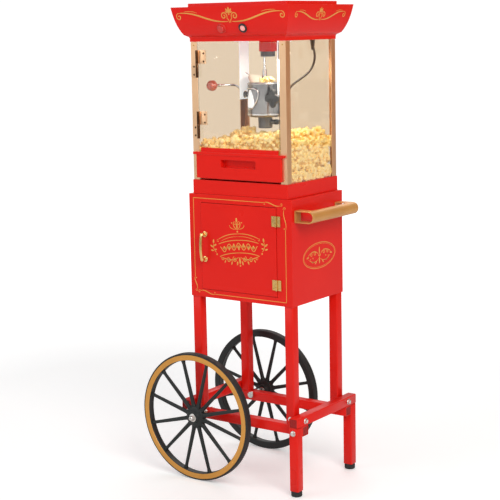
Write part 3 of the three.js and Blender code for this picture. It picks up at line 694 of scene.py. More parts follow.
def makeStandBolts():
    crossLow, crossHigh = extent("cross_rail_front")
    rearLow, rearHigh = extent("cross_rail_rear")
    railLow, railHigh = extent("side_rail_right")
    leftLow, leftHigh = extent("side_rail_left")
    legLow, legHigh = extent("lower_leg_front")
    midRail = (railLow.z + railHigh.z) / 2
    midCross = (crossLow.z + crossHigh.z) / 2
    bm = bmesh.new()
    for y in ((crossLow.y + crossHigh.y) / 2, (rearLow.y + rearHigh.y) / 2):
        addBolt(bm, at(railHigh.x, y, midRail), rightward)
        addBolt(bm, at(leftLow.x, y, midRail), leftward)
    legMiddle = (legLow.x + legHigh.x) / 2
    for y, facing in ((legLow.y, front), (-legLow.y, rear)):
        addBolt(bm, at(legMiddle, y, midCross), facing)
    # through the legs where they stand on the cross rails
    for x in ((leftLow.x + leftHigh.x) / 2 + 25, (railLow.x + railHigh.x) / 2 - 25):
        for y, facing in ((crossLow.y, front), (rearHigh.y, rear)):
            addBolt(bm, at(x, y, midRail + 2), facing, across=8, height=3.2, washer=6)
    addPiece("stand_bolts", bm, "zinc", "cart", angle=25)


# ---- wheels ----

wheel = {"spokes": 12, "ringInner": 150.0, "ringOuter": 163.6, "rimInner": 149.0,
         "treadInner": 164.6, "hub": 26.0, "halfWidth": 10.0}


def makeWheel(end, sign):
    low, high = extent("wheel_" + end)
    centre = (low + high) / 2
    radius = (high.z - low.z) / 2
    place = at(*centre)
    axis = Vector((0, sign, 0))
    body = end + "_wheel"
    half, inner, tyre = wheel["halfWidth"], wheel["rimInner"], wheel["treadInner"]
    rim = [(inner, -half + 2.2), (inner + 1.6, -half), (tyre, -half), (tyre, half),
           (inner + 1.6, half), (inner, half - 2.2), (inner + 1.2, 0), (inner, -half + 2.2)]
    spokeCount, hub = wheel["spokes"], wheel["hub"]
    bm = bmesh.new()
    addTurned(bm, rim, place, axis, 144)
    hubProfile = rounded([(6.1, -15), (14, -15), (15.5, -10.5), (20, -9), (hub, -7.5), (hub, 7.5),
                          (hub - 4, 9.5), (17, 10.5), (15.5, 15), (6.1, 15)], 1.2)
    addTurned(bm, hubProfile + [hubProfile[0]], place, axis, 64)
    for i in range(spokeCount):
        a = (i + 0.5) * 2 * math.pi / spokeCount
        out = Vector((math.cos(a), 0, math.sin(a)))
        addTurned(bm, rounded([(0, hub - 4), (7, hub - 4), (6.8, hub + 2), (5.4, hub + 8),
                               (4.3, inner - 9), (5.0, inner - 5), (6.6, inner + 3),
                               (0, inner + 3)], 2.5), place, out, 16)
    addPiece("wheel_%s_frame" % end, bm, "wheelBlack", body, ["wheel_" + end], 38)

    tread = [(tyre + 0.05, -half + 0.4), (tyre + 1.2, -half), (radius - 2.2, -half),
             (radius - 0.5, -half + 1.4), (radius, -half + 3.2)]
    for k in range(-3, 4):
        groove = 2.0 * k
        if -half + 3.6 < groove < half - 3.6 and k % 2:
            tread += [(radius, groove - 0.5), (radius - 0.7, groove - 0.25),
                      (radius - 0.7, groove + 0.25), (radius, groove + 0.5)]
    tread += [(radius, half - 3.2), (radius - 0.5, half - 1.4), (radius - 2.2, half),
              (tyre + 1.2, half), (tyre + 0.05, half - 0.4), (tyre + 0.05, -half + 0.4)]
    turned("wheel_%s_tread" % end, tread, place, axis, "tread", body, sides=144)
    face = half + 0.05
    ring = [(wheel["ringInner"], face - 0.4), (wheel["ringInner"] + 0.6, face + 0.45),
            (wheel["ringOuter"] - 0.6, face + 0.45), (wheel["ringOuter"], face - 0.4),
            (wheel["ringInner"], face - 0.4)]
    turned("wheel_%s_gold_ring" % end, ring, place, axis, "goldRing", body, sides=144)


def makeAxle(end, sign):
    low, high = extent("axle_" + end)
    centre = (low + high) / 2
    axis = Vector((0, sign, 0))
    reach = sorted((abs(low.y), abs(high.y)))
    place = at(centre.x, 0, centre.z)
    near, far = reach
    hubLow, hubHigh = extent("wheel_" + end)
    hubReach = sorted((abs(hubLow.y), abs(hubHigh.y)))
    rails = sorted(abs(v.y) for v in extent("cross_rail_" + end))
    bm = bmesh.new()
    profile = [(0, near), (7.2, near), (8.8, near + 1.4), (9, rails[0] - 0.3), (6, rails[0] - 0.3),
               (6, rails[1] + 0.3), (9, rails[1] + 0.3), (9, rails[1] + 8), (7.8, rails[1] + 8.6),
               (7.8, hubReach[0] - 3), (9, hubReach[0] - 2.4), (9, hubReach[0] - 0.3),
               (6, hubReach[0] - 0.3), (6, hubReach[1] + 0.2), (10.4, hubReach[1] + 0.2),
               (10.6, hubReach[1] + 0.6), (10.6, hubReach[1] + 1.4), (10, hubReach[1] + 1.8),
               (0, hubReach[1] + 1.8)]
    addTurned(bm, profile, place, axis, 48)
    addTurned(bm, [(0, hubReach[1] + 1.7), (8.2, hubReach[1] + 1.7), (8.2, hubReach[1] + 5.4),
                   (7.2, hubReach[1] + 6.2), (0, hubReach[1] + 6.2)], place, axis, 6)
    dome = [(7.0 * math.cos(a), hubReach[1] + 6.0 + (far - hubReach[1] - 6.0) * math.sin(a))
            for a in (math.pi / 2 * i / 8 for i in range(8))]
    addTurned(bm, dome + [(0, far)], place, axis, 40)
    addPiece("axle_%s_shaft" % end, bm, "zinc", "cart", ["axle_" + end], 25)


# ---- gold painted ornament ----

def curl(cx, cy, outer, inner, start, turns, steps=26):
    # a scroll that winds inwards; a negative number of turns winds clockwise
    points = []
    for i in range(steps + 1):
        t = i / steps
        r = outer + (inner - outer) * t ** 0.85
        a = math.radians(start) + 2 * math.pi * turns * t
        points.append((cx + r * math.cos(a), cy + r * math.sin(a)))
    return points


def bezier(p0, p1, p2, p3, steps=20):
    points = []
    for i in range(steps + 1):
        t = i / steps
        s = 1 - t
        points.append(tuple(s ** 3 * a + 3 * s * s * t * b + 3 * s * t * t * c + t ** 3 * d
                            for a, b, c, d in zip(p0, p1, p2, p3)))
    return points


def mirroredX(strokes):
    return strokes + [([(-x, y) for x, y in points], width, taper)
                      for points, width, taper in strokes]


def paintStrokes(name, strokes, surface, body, thickness=0.25):
    # each stroke is (points, width, taper); surface(u, v, h) places a point h above the face
    bm = bmesh.new()
    for points, width, taper in strokes:
        last = len(points) - 1
        closed = math.dist(points[0], points[-1]) < 1e-6 and last > 2
        rows = []
        for i, (u, v) in enumerate(points[:-1] if closed else points):
            before = points[i - 1 if i else (-2 if closed else 0)]
            after = points[min(i + 1, last)]
            du, dv = after[0] - before[0], after[1] - before[1]
            length = math.hypot(du, dv) or 1
            nu, nv = -dv / length, du / length
            swell = math.sin(math.pi * min(max(i / last, 0.0), 1.0))
            w = width / 2 * (1 - taper + taper * swell ** 0.6)
            rows.append([bm.verts.new(surface(u + nu * w * s, v + nv * w * s, h))
                         for s, h in ((-1, -0.05), (-0.8, thickness), (0.8, thickness),
                                      (1, -0.05))])
        pairs = list(zip(rows, rows[1:]))
        if closed:
            pairs.append((rows[-1], rows[0]))
        for a, b in pairs:
            bridge(bm, a, b)
        if not closed:
            bm.faces.new(rows[0])
            bm.faces.new(rows[-1])
    return addPiece(name, bm, "goldLine", body, angle=50)


def dot(x, y, radius):
    # a filled spot, drawn as a short stroke that is as wide as it is long
    return ([(x - radius, y), (x - radius * 0.7, y), (x, y), (x + radius * 0.7, y),
             (x + radius, y)], radius * 2, 1.0)


def leaf(x, y, angle, length, width):
    a = math.radians(angle)
    end = (x + length * math.cos(a), y + length * math.sin(a))
    return ([(x + (end[0] - x) * t / 8, y + (end[1] - y) * t / 8) for t in range(9)], width, 1.0)


def makeCabinetOrnament():
    low, high = extent("cabinet_body")
    doorLow, doorHigh = extent("cabinet_door")
    face = low.y

    def cabinetFront(u, v, h):
        return at(u, face - h, v)

    left, right, bottom, top = -143.5, 138.5, 487.5, 732.5
    line = 1.6
    cut = 34.0
    strokes = [
        ([(left, bottom + cut * 1.2), (left, (bottom + top) / 2), (left, top - 0.8)], line, 0),
        ([(left - 0.8, top), (-20, top), (right - cut * 1.9, top)], line, 0),
        ([(right, top - cut * 1.9), (right, 600), (right, bottom - 0.8)], line, 0),
        ([(right + 0.8, bottom), (20, bottom), (left + cut * 1.9, bottom)], line, 0),
        # top right flourish
        (bezier((right - cut * 1.9, top), (right - 46, top + 7), (right - 34, top - 12),
                (right - 14, top - 5)), 2.4, 0.75),
        (curl(right - 12, top - 2, 4.6, 1.0, 230, 0.9), 1.5, 0.5),
        (bezier((right, top - cut * 1.9), (right + 7, top - 46), (right - 10, top - 34),
                (right - 4, top - 15)), 2.4, 0.75),
        (curl(right - 2, top - 12, 4.6, 1.0, 220, -0.9), 1.5, 0.5),
        dot(right - cut * 1.9 + 3, top - 3.6, 1.6), dot(right - 3.6, top - cut * 1.9 + 3, 1.6),
        # bottom left flourish
        (bezier((left, bottom + cut * 1.2), (left - 6, bottom + 30), (left + 10, bottom + 20),
                (left + 5, bottom + 9)), 2.4, 0.75),
        (curl(left + 3, bottom + 7, 4.4, 1.0, 40, -0.9), 1.5, 0.5),
        (bezier((left + cut * 1.9, bottom), (left + 46, bottom - 6), (left + 34, bottom + 12),
                (left + 16, bottom + 5)), 2.4, 0.75),
        (curl(left + 13, bottom + 3, 4.4, 1.0, 50, 0.9), 1.5, 0.5),
        dot(left + 3.6, bottom + cut * 1.2 - 3, 1.6), dot(left + cut * 1.9 - 3, bottom + 3.6, 1.6), ]
    paintStrokes("cabinet_outline", strokes, cabinetFront, "cart")

    centreU, centreV = (doorLow.x + doorHigh.x) / 2 + 2, (doorLow.z + doorHigh.z) / 2 + 6
    doorFace = doorLow.y

    def doorFront(u, v, h):
        # the whole ornament climbs a little from left to right
        a = math.radians(5)
        return at(centreU + u * math.cos(a) - v * math.sin(a), doorFace - h,
                  centreV + u * math.sin(a) + v * math.cos(a))

    half = [
        # crest above
        (bezier((0, 44), (9, 48), (14, 58), (7, 64)), 2.2, 0.7),
        (curl(6, 59, 5.0, 1.2, 80, 0.85), 1.5, 0.5),
        (bezier((2, 45), (16, 44), (24, 50), (22, 56)), 1.7, 0.7),
        dot(15, 61, 1.7),
        # two light arches
        (bezier((0, 33), (22, 34), (44, 29), (62, 20)), 2.0, 0.5),
        (bezier((0, 26), (20, 27), (38, 23), (54, 15)), 1.2, 0.5),
        (curl(63, 16.5, 4.0, 0.9, 100, -0.9), 1.3, 0.5),
        # a running vine between two rails
        ([(x, 1 - 0.0022 * x * x + 8.5 * math.cos(x * math.pi / 15))
          for x in (i * 1.25 for i in range(47))], 2.2, 0),
        (bezier((0, 17), (24, 17), (46, 14), (62, 8)), 2.0, 0.3),
        (bezier((0, -15), (24, -15), (46, -18), (62, -24)), 2.0, 0.3),
        # side sprays
        (bezier((70, -14), (78, -8), (82, 2), (78, 10)), 2.0, 0.8),
        leaf(78, 3, 150, 10, 4.5), leaf(80, 0, 35, 11, 4.5), leaf(78, -7, 165, 9, 4),
        leaf(79, -9, 15, 10, 4), leaf(78, 10, 95, 11, 5), dot(70, -18, 2.2),
        # scrollwork below
        (bezier((3, -26), (18, -36), (34, -34), (60, -24)), 3.0, 0.8),
        (curl(15, -31, 7.5, 1.6, 75, -1.25), 2.2, 0.4),
        (curl(35, -33, 6.5, 1.4, 60, 1.2), 2.0, 0.4),
        (curl(52, -29.5, 4.6, 1.0, 70, -1.1), 1.6, 0.4),
        leaf(24, -36, -70, 10, 4), leaf(44, -33, -60, 8, 3.4), leaf(7, -36, -78, 11, 4.5), ]
    strokes = mirroredX(half)
    strokes += [leaf(0, 62, 90, 12, 5.5), leaf(0, 44, 90, 16, 4.5), dot(0, 38.5, 2.4),
                leaf(0, -26, -90, 18, 6), dot(0, -48, 2.2)]
    for i in range(-3, 4):
        # a leaf in each hollow of the vine, pointing up or down in turn
        x = i * 15
        side = 1 if i % 2 else -1
        y = 1 - 0.0022 * x * x - side * 3.5
        strokes += [leaf(x, y, 90 * side, 13 - abs(i), 6), leaf(x, y, 90 * side + 38, 8, 3.2),
                    leaf(x, y, 90 * side - 38, 8, 3.2)]
    paintStrokes("door_ornament", strokes, doorFront, "cabinet_door_body")

    sideFace = high.x

    def cabinetSide(u, v, h):
        return at(sideFace + h, 6 + u, 590 + v)

    oval = [(math.cos(2 * math.pi * i / 72), math.sin(2 * math.pi * i / 72)) for i in range(73)]
    half = [
        (bezier((4, 2), (18, 18), (38, 12), (52, 4)), 2.4, 0.75),
        (curl(20, 7, 6.4, 1.4, 90, -1.2), 1.8, 0.4),
        (curl(38, 5.5, 5.2, 1.1, 100, 1.15), 1.6, 0.4),
        (bezier((4, -8), (20, -20), (36, -14), (50, -5)), 1.8, 0.7),
        leaf(12, -14, -35, 11, 3.6), leaf(27, -15, 10, 10, 3.4), leaf(48, 1, -10, 12, 4),
        dot(30, -4, 1.8), dot(41, -6, 1.5), ]
    strokes = mirroredX(half)
    strokes += [([(x * 74, y * 32.5) for x, y in oval], 1.7, 0),
                ([(x * 70.5, y * 29.2) for x, y in oval], 0.8, 0),
                leaf(0, 2, 90, 20, 5), leaf(0, -2, -90, 19, 5), leaf(0, 0, 180, 6, 3),
                leaf(0, 0, 0, 6, 3)]
    paintStrokes("side_ornament", strokes, cabinetSide, "cart")
    print("cabinet ornament painted")


# ---- cabinet ----

def makeCabinet():
    softened("cabinet_body", "red", 0.7, 3)
    softened("cabinet_door", "red", 0.7, 3)
    softened("push_handle", "handleGold", 0.8, 3, angle=40)
    makeDoorPull()
    for which in ("upper", "lower"):
        fixed, moving = ("cabinet_hinge_%s_%s_leaf" % (which, kind) for kind in ("fixed", "door"))
        softened(fixed, "brass", 0.3)
        softened(moving, "brass", 0.3)
        for node in (fixed, moving):
            low, high = extent(node)
            x = high.x - 4.2 if node == fixed else low.x + 4.2
            bm = bmesh.new()
            for z in (low.z + 5 + (node == fixed), high.z - 5 - (node == fixed)):
                addScrew(bm, at(x, plateFace["cabinet"], z), front, 1.9, 0.8)
            addPiece(node + "_screws", bm, "brass", bodyOf[node])
    makeCabinetOrnament()
    print("cabinet made")


plateFace = {"cabinet": -120.0, "glass": -113.8}
doorPull = {"x": -107.5, "z": 609, "half": 32, "out": -137, "radius": 3.9}


def makeDoorPull():
    x, z, half, out = (doorPull[k] for k in ("x", "z", "half", "out"))
    face = extent("cabinet_door")[0].y
    path = smoothPath([(x, face - 1, z - half), (x, face - 8, z - half - 0.5),
                       (x, out + 4, z - half - 1), (x, out, z - half / 2), (x, out - 1, z),
                       (x, out, z + half / 2), (x, out + 4, z + half + 1),
                       (x, face - 8, z + half + 0.5), (x, face - 1, z + half)], 8)

    def thickness(t):
        # slim beside the feet, full in the middle of the grip
        return doorPull["radius"] * (0.86 + 0.16 * math.sin(math.pi * t))

    bm = bmesh.new()
    addSwept(bm, path, thickness, 20)
    for sign in (-1, 1):
        place = at(x, face - 0.3, z + sign * half)
        addTurned(bm, rounded([(0, 4.6), (4.2, 4.6), (4.8, 2.6), (7.4, 1.9), (7.6, 0), (0, 0)],
                              0.6), place, front, 36)
    for sign in (-1, 1):
        ring = at(x, out + 3.4, z + sign * (half + 0.4))
        addTurned(bm, [(0, -1.2), (4.3, -1.2), (4.9, 0), (4.3, 1.2), (0, 1.2)], ring,
                  Vector((0, -0.8, sign * 0.2)), 28)
    addPiece("cabinet_door_pull_bow", bm, "brass", "cabinet_door_body", ["cabinet_door_pull"], 50)


# ---- popping chamber ----

def makeChamber():
    softened("chamber_base", "red", 0.7, 3)
    for end in ("front", "rear"):
        for side in ("left", "right"):
            softened("corner_post_%s_%s" % (end, side), "postGold", 0.35)
    for node, material, bevel, segments in (
            ("window_left", "tinted", 0.4, 2), ("window_rear", "tinted", 0.4, 2),
            ("window_right", "faintTint", 0.4, 2), ("glass_door", "clear", 0.5, 2),
            ("crumb_drawer", "red", 0.6, 3), ("chamber_floor", "floorSteel", 0.3, 2)):
        softened(node, material, bevel, segments)
    makeGlassHinges()
    bm = bmesh.new()
    low, high = extent("corner_post_front_right")
    for sx in (-1, 1):
        for sy, facing in ((-1, front), (1, rear)):
            for z in (low.z + 9, high.z - 9):
                addScrew(bm, at(sx * (high.x - 9), sy * abs(low.y), z), facing, 2.0, 0.8)
    addPiece("post_screws", bm, "brass", "cart")
    print("chamber made")


def makeGlassHinges():
    for which in ("upper", "lower"):
        for kind in ("post", "door"):
            node = "glass_hinge_%s_%s_leaf" % (which, kind)
            softened(node, "postGold", 0.35)
            low, high = extent(node)
            bm = bmesh.new()
            if kind == "door":
                x, heights = high.x - 6, (high.z - 8, high.z - 28)
            else:
                x, heights = low.x + 9, (low.z + 7, low.z + 27)
            for z in heights:
                addScrew(bm, at(x, plateFace["glass"], z), front, 2.6, 1.1)
            addPiece(node + "_screws", bm, "bronze", bodyOf[node])
            # the post's sleeve ends just below the door's
            doorLow = extent("glass_hinge_%s_door_leaf" % which)[0]
            barrelLength = (high.z if kind == "door" else doorLow.z - 0.3) - low.z
            sleeve = rounded([(3.2, 0.1), (3.8, 0.1), (3.8, barrelLength - 0.1),
                              (3.2, barrelLength - 0.1), (3.2, 0.1)], 0.4)
            turned(node + "_barrel", sleeve, at(-120.5, -117.5, low.z), upward, "bronze",
                   bodyOf[node], sides=28)


# ---- popcorn ----

popcorn = {"seed": 7, "spacing": 17.0, "size": 13.5, "variants": 12, "gap": 125.2,
           "skirtTop": 806, "baseTop": 779.6}


def heapHeight(x, y):
    near = ((x + 48) ** 2 + (y + 22) ** 2) / (2 * 26 ** 2)
    return 884 + 13 * math.tanh(x / 60) + 30 * math.exp(-near)


def kernelShape(rng):
    # lobes bursting from one point; each direction reaches the farthest lobe's skin
    lobes = []
    for _ in range(rng.randint(6, 10)):
        a, h = rng.uniform(0, 2 * math.pi), rng.uniform(-0.9, 0.9)
        flat = math.sqrt(1 - h * h)
        lobes.append((Vector((flat * math.cos(a), flat * math.sin(a), h)) * rng.uniform(0.42, 0.72),
                      rng.uniform(0.26, 0.42)))
    bm = bmesh.new()
    bmesh.ops.create_icosphere(bm, subdivisions=3, radius=1)
    points, folds = [], []
    offset = Vector((rng.uniform(0, 50), rng.uniform(0, 50), rng.uniform(0, 50)))
    for v in bm.verts:
        way = v.co.normalized()
        reach, second = 0.30, 0.30
        for centre, radius in lobes:
            along = way.dot(centre)
            inside = radius ** 2 - centre.length_squared + along ** 2
            if inside > 0:
                far = along + math.sqrt(inside)
                if far > reach:
                    reach, second = far, reach
                elif far > second:
                    second = far
        reach += 0.07 * noise.noise(way * 3.2 + offset)
        points.append(way * reach)
        folds.append(min(max((reach - 0.34) / 0.62, 0), 1) * (0.72 + 0.28 * min(
            (reach - second) / 0.12, 1)))
    faces = [[v.index for v in f.verts] for f in bm.faces]
    bm.free()
    return points, folds, faces


def kernelMesh(name, spots, shapes, rng, limits):
    # spots: (place in mm, size); limits keep the corn behind the glass
    verts, faces, folds = [], [], []
    (x0, y0, z0), (x1, y1, z1) = limits
    for (x, y, z), size in spots:
        points, fold, shape = rng.choice(shapes)
        turn = Matrix.Rotation(rng.uniform(0, 6.28), 3, "X") @ Matrix.Rotation(
            rng.uniform(0, 6.28), 3, "Z")
        start = len(verts)
        for p in points:
            q = turn @ p * size + Vector((x, y, z))
            verts.append(at(min(max(q.x, x0), x1), min(max(q.y, y0), y1), min(max(q.z, z0), z1)))
        folds += fold
        faces += [[start + i for i in f] for f in shape]
    mesh = bpy.data.meshes.new(name)
    mesh.from_pydata(verts, [], faces)
    mesh.update()
    attribute = mesh.attributes.new("fold", "FLOAT", "POINT")
    attribute.data.foreach_set("value", folds)
    return mesh


def makePopcorn():
    rng = random.Random(popcorn["seed"])
    low, high = extent("popcorn_heap")
    size, step = popcorn["size"], popcorn["spacing"]
    # fewer points on each kernel than the finest sphere, since most of it is hidden
    shapes = [kernelShape(rng) for _ in range(popcorn["variants"])]
    glass = extent("window_right")[0].x - 0.4
    backGlass = extent("window_rear")[0].y - 0.4
    limits = ((-glass, -108.6, low.z), (glass, backGlass, 935))

    def jitter(amount):
        return rng.uniform(-amount, amount)

    spots = []
    x = -glass + size
    while x < glass - size * 0.8:
        y = -98.0
        while y < backGlass - size * 0.6:
            px, py = x + jitter(4), y + jitter(4)
            spots.append(((px, py, heapHeight(px, py) - size * 0.35 + jitter(4)),
                          size * rng.uniform(0.8, 1.2)))
            y += step
        x += step
    z = low.z + size * 0.8
    while z < 880:
        for side, along0, along1 in (("right", -98, 99), ("left", -98, 99), ("rear", -122, 122),
                                     ("front", -122, 122)):
            if side == "front" and z < 846:
                continue
            s = along0 + jitter(4)
            while s < along1:
                if side in ("rear", "front"):
                    face = backGlass - size * 0.8 if side == "rear" else -99.0
                    spot = (s, face + jitter(1.5), z + jitter(3.5))
                    top = heapHeight(s, spot[1])
                else:
                    sx = 1 if side == "right" else -1
                    spot = (sx * (glass - size * 0.8 + jitter(1.5)), s, z + jitter(3.5))
                    top = heapHeight(spot[0], s)
                if spot[2] < top - size * 0.9:
                    spots.append((spot, size * rng.uniform(0.82, 1.15)))
                s += step * rng.uniform(0.85, 1.05)
        z += step * 0.86
    rng.shuffle(spots)
    share = math.ceil(len(spots) / 4)
    for k in range(4):
        part = spots[k * share:(k + 1) * share]
        mesh = kernelMesh("popcorn_%d" % (k + 1), part, shapes, rng, limits)
        finishPiece("popcorn_%d" % (k + 1), mesh, "corn", "cart",
                    ["popcorn_heap"] if k == 0 else (), 180)
    makeHeapCore(low, high)
    # corn that has slipped down between the floor's skirt and the glass
    edge, bottom, top = popcorn["gap"], popcorn["baseTop"], popcorn["skirtTop"]
    for name, sign in (("left", -1), ("right", 1)):
        slipped = []
        for z in (bottom + 7, bottom + 19):
            s = -92 + jitter(4)
            while s < 94:
                slipped.append(((sign * (edge + glass) / 2, s, z + jitter(2.5)),
                                size * rng.uniform(0.8, 1.05)))
                s += step * rng.uniform(0.62, 0.78)
        xs = sorted((sign * edge, sign * glass))
        mesh = kernelMesh("popcorn_slipped_" + name, slipped, shapes, rng,
                          ((xs[0], -106, bottom), (xs[1], backGlass, 935)))
        finishPiece("popcorn_slipped_" + name, mesh, "corn", "cart", angle=180)
    onLid = [((29, -30, 1029), 11.5), ((41, -20, 1029), 11), ((24, -42, 1028), 10),
             ((37, -34, 1030), 11), ((30, -20, 1028.5), 10), ((43, -30, 1028), 9.5)]
    mesh = kernelMesh("popcorn_on_lid", onLid, shapes, rng,
                      ((19, -48, 1021.6), (52, -14, 1036)))
    finishPiece("popcorn_on_lid", mesh, "corn", "right_lid", angle=180)
    # the face of the heap behind the drawer's panel, seen when the drawer is out
    behind = []
    z = low.z + size * 0.7
    while z < 848:
        s = -122 + jitter(4)
        while s < 122:
            behind.append(((s, -89 + jitter(1.5), z + jitter(3)), size * rng.uniform(0.82, 1.1)))
            s += step * rng.uniform(0.85, 1.05)
        z += step * 0.8
    mesh = kernelMesh("popcorn_behind_drawer", behind, shapes, rng,
                      ((-glass, -100.5, low.z), (glass, backGlass, 935)))
    finishPiece("popcorn_behind_drawer", mesh, "corn", "cart", angle=180)
    print("popcorn heaped:", len(spots), "kernels")


def makeHeapCore(low, high):
    # the dark middle of the heap, seen only between the kernels
    bm = bmesh.new()
    nx, ny, shrink = 24, 18, 10
    grid = []
    for i in range(nx + 1):
        row = []
        for j in range(ny + 1):
            x = low.x + shrink + (high.x - low.x - 2 * shrink) * i / nx
            y = low.y + 4 + (high.y - low.y - shrink - 4) * j / ny
            lift = 5 * noise.noise(Vector((x * 0.06, y * 0.06, 0)))
            row.append((bm.verts.new(at(x, y, heapHeight(x, y) - 11 + lift)),
                        bm.verts.new(at(x, y, low.z + 0.5))))
        grid.append(row)
    for i in range(nx):
        for j in range(ny):
            for k in (0, 1):
                bm.faces.new((grid[i][j][k], grid[i + 1][j][k], grid[i + 1][j + 1][k],
                              grid[i][j + 1][k]))
    edge = ([grid[i][0] for i in range(nx + 1)] + [grid[nx][j] for j in range(1, ny + 1)]
            + [grid[i][ny] for i in range(nx - 1, -1, -1)] + [grid[0][j] for j in range(ny - 1, 0, -1)])
    for a, b in zip(edge, edge[1:] + edge[:1]):
        bm.faces.new((a[0], b[0], b[1], a[1]))
    mesh = meshOf("popcorn_core", bm)
    fold = mesh.attributes.new("fold", "FLOAT", "POINT")
    fold.data.foreach_set("value", [0.3] * len(mesh.vertices))
    finishPiece("popcorn_core", mesh, "corn", "cart", angle=180)


# ---- canopy ----

canopy = {"narrower": 30.4, "tilt": 23.8, "controlZ": 1157,
          "controlY": -132.4, "buttonX": -30, "lampX": 34}


def flareHalf(z):
    # half width of the canopy's flared face at a height
    low, mid, high = (154.7, 1142), (170, 1165), (177, 1210)
    a = low[1] - 2 * mid[1] + high[1]
    b = 2 * (mid[1] - low[1])
    t = (-b + math.sqrt(b * b - 4 * a * (low[1] - z))) / (2 * a)
    return (1 - t) ** 2 * low[0] + 2 * t * (1 - t) * mid[0] + t * t * high[0]


def makeCanopy():
    softened("canopy_shell", "red", 0.6, 3, angle=30)
    softened("canopy_lid", "red", 0.7, 3)

    def canopyFront(u, v, h):
        return at(u, canopy["narrower"] - flareHalf(v) - h - 0.1, v)

    def canopySide(u, v, h):
        return at(flareHalf(v) + h + 0.1, u, v)

    def crest(cy, reach, size):
        # two long waves that end in curls, about a palmette between facing scrolls
        k = size
        half = [
            (bezier((6 * k, cy - 13 * k), (reach * 0.42, cy - 17 * k), (reach * 0.58, cy + 13 * k),
                    (reach - 6, cy + 9 * k), 40), 4.0 * k, 0.75),
            (curl(reach - 6, cy, 9.4 * k, 1.6 * k, 90, -1.2, 34), 2.6 * k, 0.35),
            (curl(16 * k, cy, 10.5 * k, 2.0 * k, 215, -1.35, 36), 2.7 * k, 0.35),
            (bezier((7.5 * k, cy - 5 * k), (3 * k, cy - 8 * k), (2 * k, cy - 12 * k),
                    (2 * k, cy - 16 * k)), 2.0 * k, 0.5),
            leaf(2 * k, cy + 8 * k, 58, 12 * k, 4.4 * k), leaf(3 * k, cy + 7 * k, 28, 9 * k, 3 * k),
            (bezier((reach * 0.6, cy + 9 * k), (reach * 0.68, cy + 13 * k),
                    (reach * 0.76, cy + 14 * k), (reach * 0.86, cy + 12.5 * k)), 1.3, 0.7), ]
        return mirroredX(half) + [leaf(0, cy + 6 * k, 90, 16 * k, 5.4 * k),
                                  dot(0, cy + 4.5 * k, 2.2 * k)]

    paintStrokes("canopy_front_scroll", crest(1186, 160, 1.0), canopyFront, "cart", 0.3)
    paintStrokes("canopy_side_scroll", crest(1185, 112, 0.85), canopySide, "cart", 0.3)
    makeControls()
    softened("stir_motor", "grey", 0.6)
    softened("motor_cover", "red", 0.5)
    low = extent("motor_cover")[0]
    turned("motor_collar", rounded([(4.2, -0.2), (18.3, -0.2), (18.3, 12.6), (4.2, 12.6),
                                    (4.2, -0.2)], 0.8), at(16, -2, low.z), upward, "grey", "cart")
    makeChamberLamp()
    bm = bmesh.new()
    lidHigh = extent("canopy_lid")[1]
    for sx in (-1, 1):
        for sy in (-1, 1):
            addScrew(bm, at(sx * (lidHigh.x - 12), sy * (lidHigh.y - 12), lidHigh.z - 0.6), upward,
                     2.6, 0.8)
    addPiece("lid_screws", bm, "zinc", "cart")
    gland = rounded([(5.2, 0), (9, 0), (9, 6), (11.5, 7.5), (11.5, 10), (9.6, 11.5), (5.2, 11.5),
                     (5.2, 0)], 0.6)
    turned("rear_grommet", gland, at(96, 125, 1150), rear, "black", "cart")
    print("canopy made")


def makeControls():
    a = math.radians(canopy["tilt"])
    facing = Vector((0, -math.cos(a), -math.sin(a)))
    button = at(canopy["buttonX"], canopy["controlY"], canopy["controlZ"])
    lamp = at(canopy["lampX"], canopy["controlY"], canopy["controlZ"])
    turned("power_button_cap", rounded([(0, 6.6), (4.5, 6.7), (7.2, 7.5), (8.8, 6.4), (9.2, 4.4),
                                        (9.2, -12), (0, -12)], 0.8), button, facing, "redPlastic",
           "button", ["power_button"])
    turned("power_button_bezel", rounded([(9.7, -0.6), (12.6, -0.6), (12.6, 2.0), (11.6, 3.1),
                                          (10.2, 3.1), (9.7, 2.4), (9.7, -0.6)], 0.5), button,
           facing, "redPlastic", "cart")
    turned("indicator_bezel", rounded([(7.3, -4), (8.0, -4), (8.0, 0.5), (12, 0.5), (12, 2),
                                       (10.6, 3.6), (8.6, 3.6), (7.3, 2.2), (7.3, -4)], 0.5), lamp,
           facing, "black", "cart", ["indicator_lamp"])
    turned("indicator_lens", rounded([(0, 6.3), (3, 6.0), (5.6, 4.9), (7.1, 2.8), (7.1, -3),
                                      (0, -3)], 0.8), lamp, facing, "lens", "cart")


def makeChamberLamp():
    # a small lamp under the chamber's ceiling lights the corn
    place = at(92, -40, 1124.6)
    turned("chamber_lamp_socket", rounded([(0, 0), (15, 0), (15, 3), (11, 5), (10, 16), (0, 16)],
                                          0.8), place, downward, "white", "cart")
    bulb = [(12.5 * math.sin(a), 31 - 12.5 * math.cos(a)) for a in
            (math.pi * i / 14 for i in range(14, 2, -1))]
    turned("chamber_lamp_bulb", [(0, 43.5)] + bulb[1:] + [(7.5, 16.2), (0, 16.2)], place,
           downward, "bulb", "cart")


# ---- kettle and drive ----

kettle = {"x": 8, "y": -6, "radius": 44, "bottom": 935, "top": 1020, "pivot": 990}


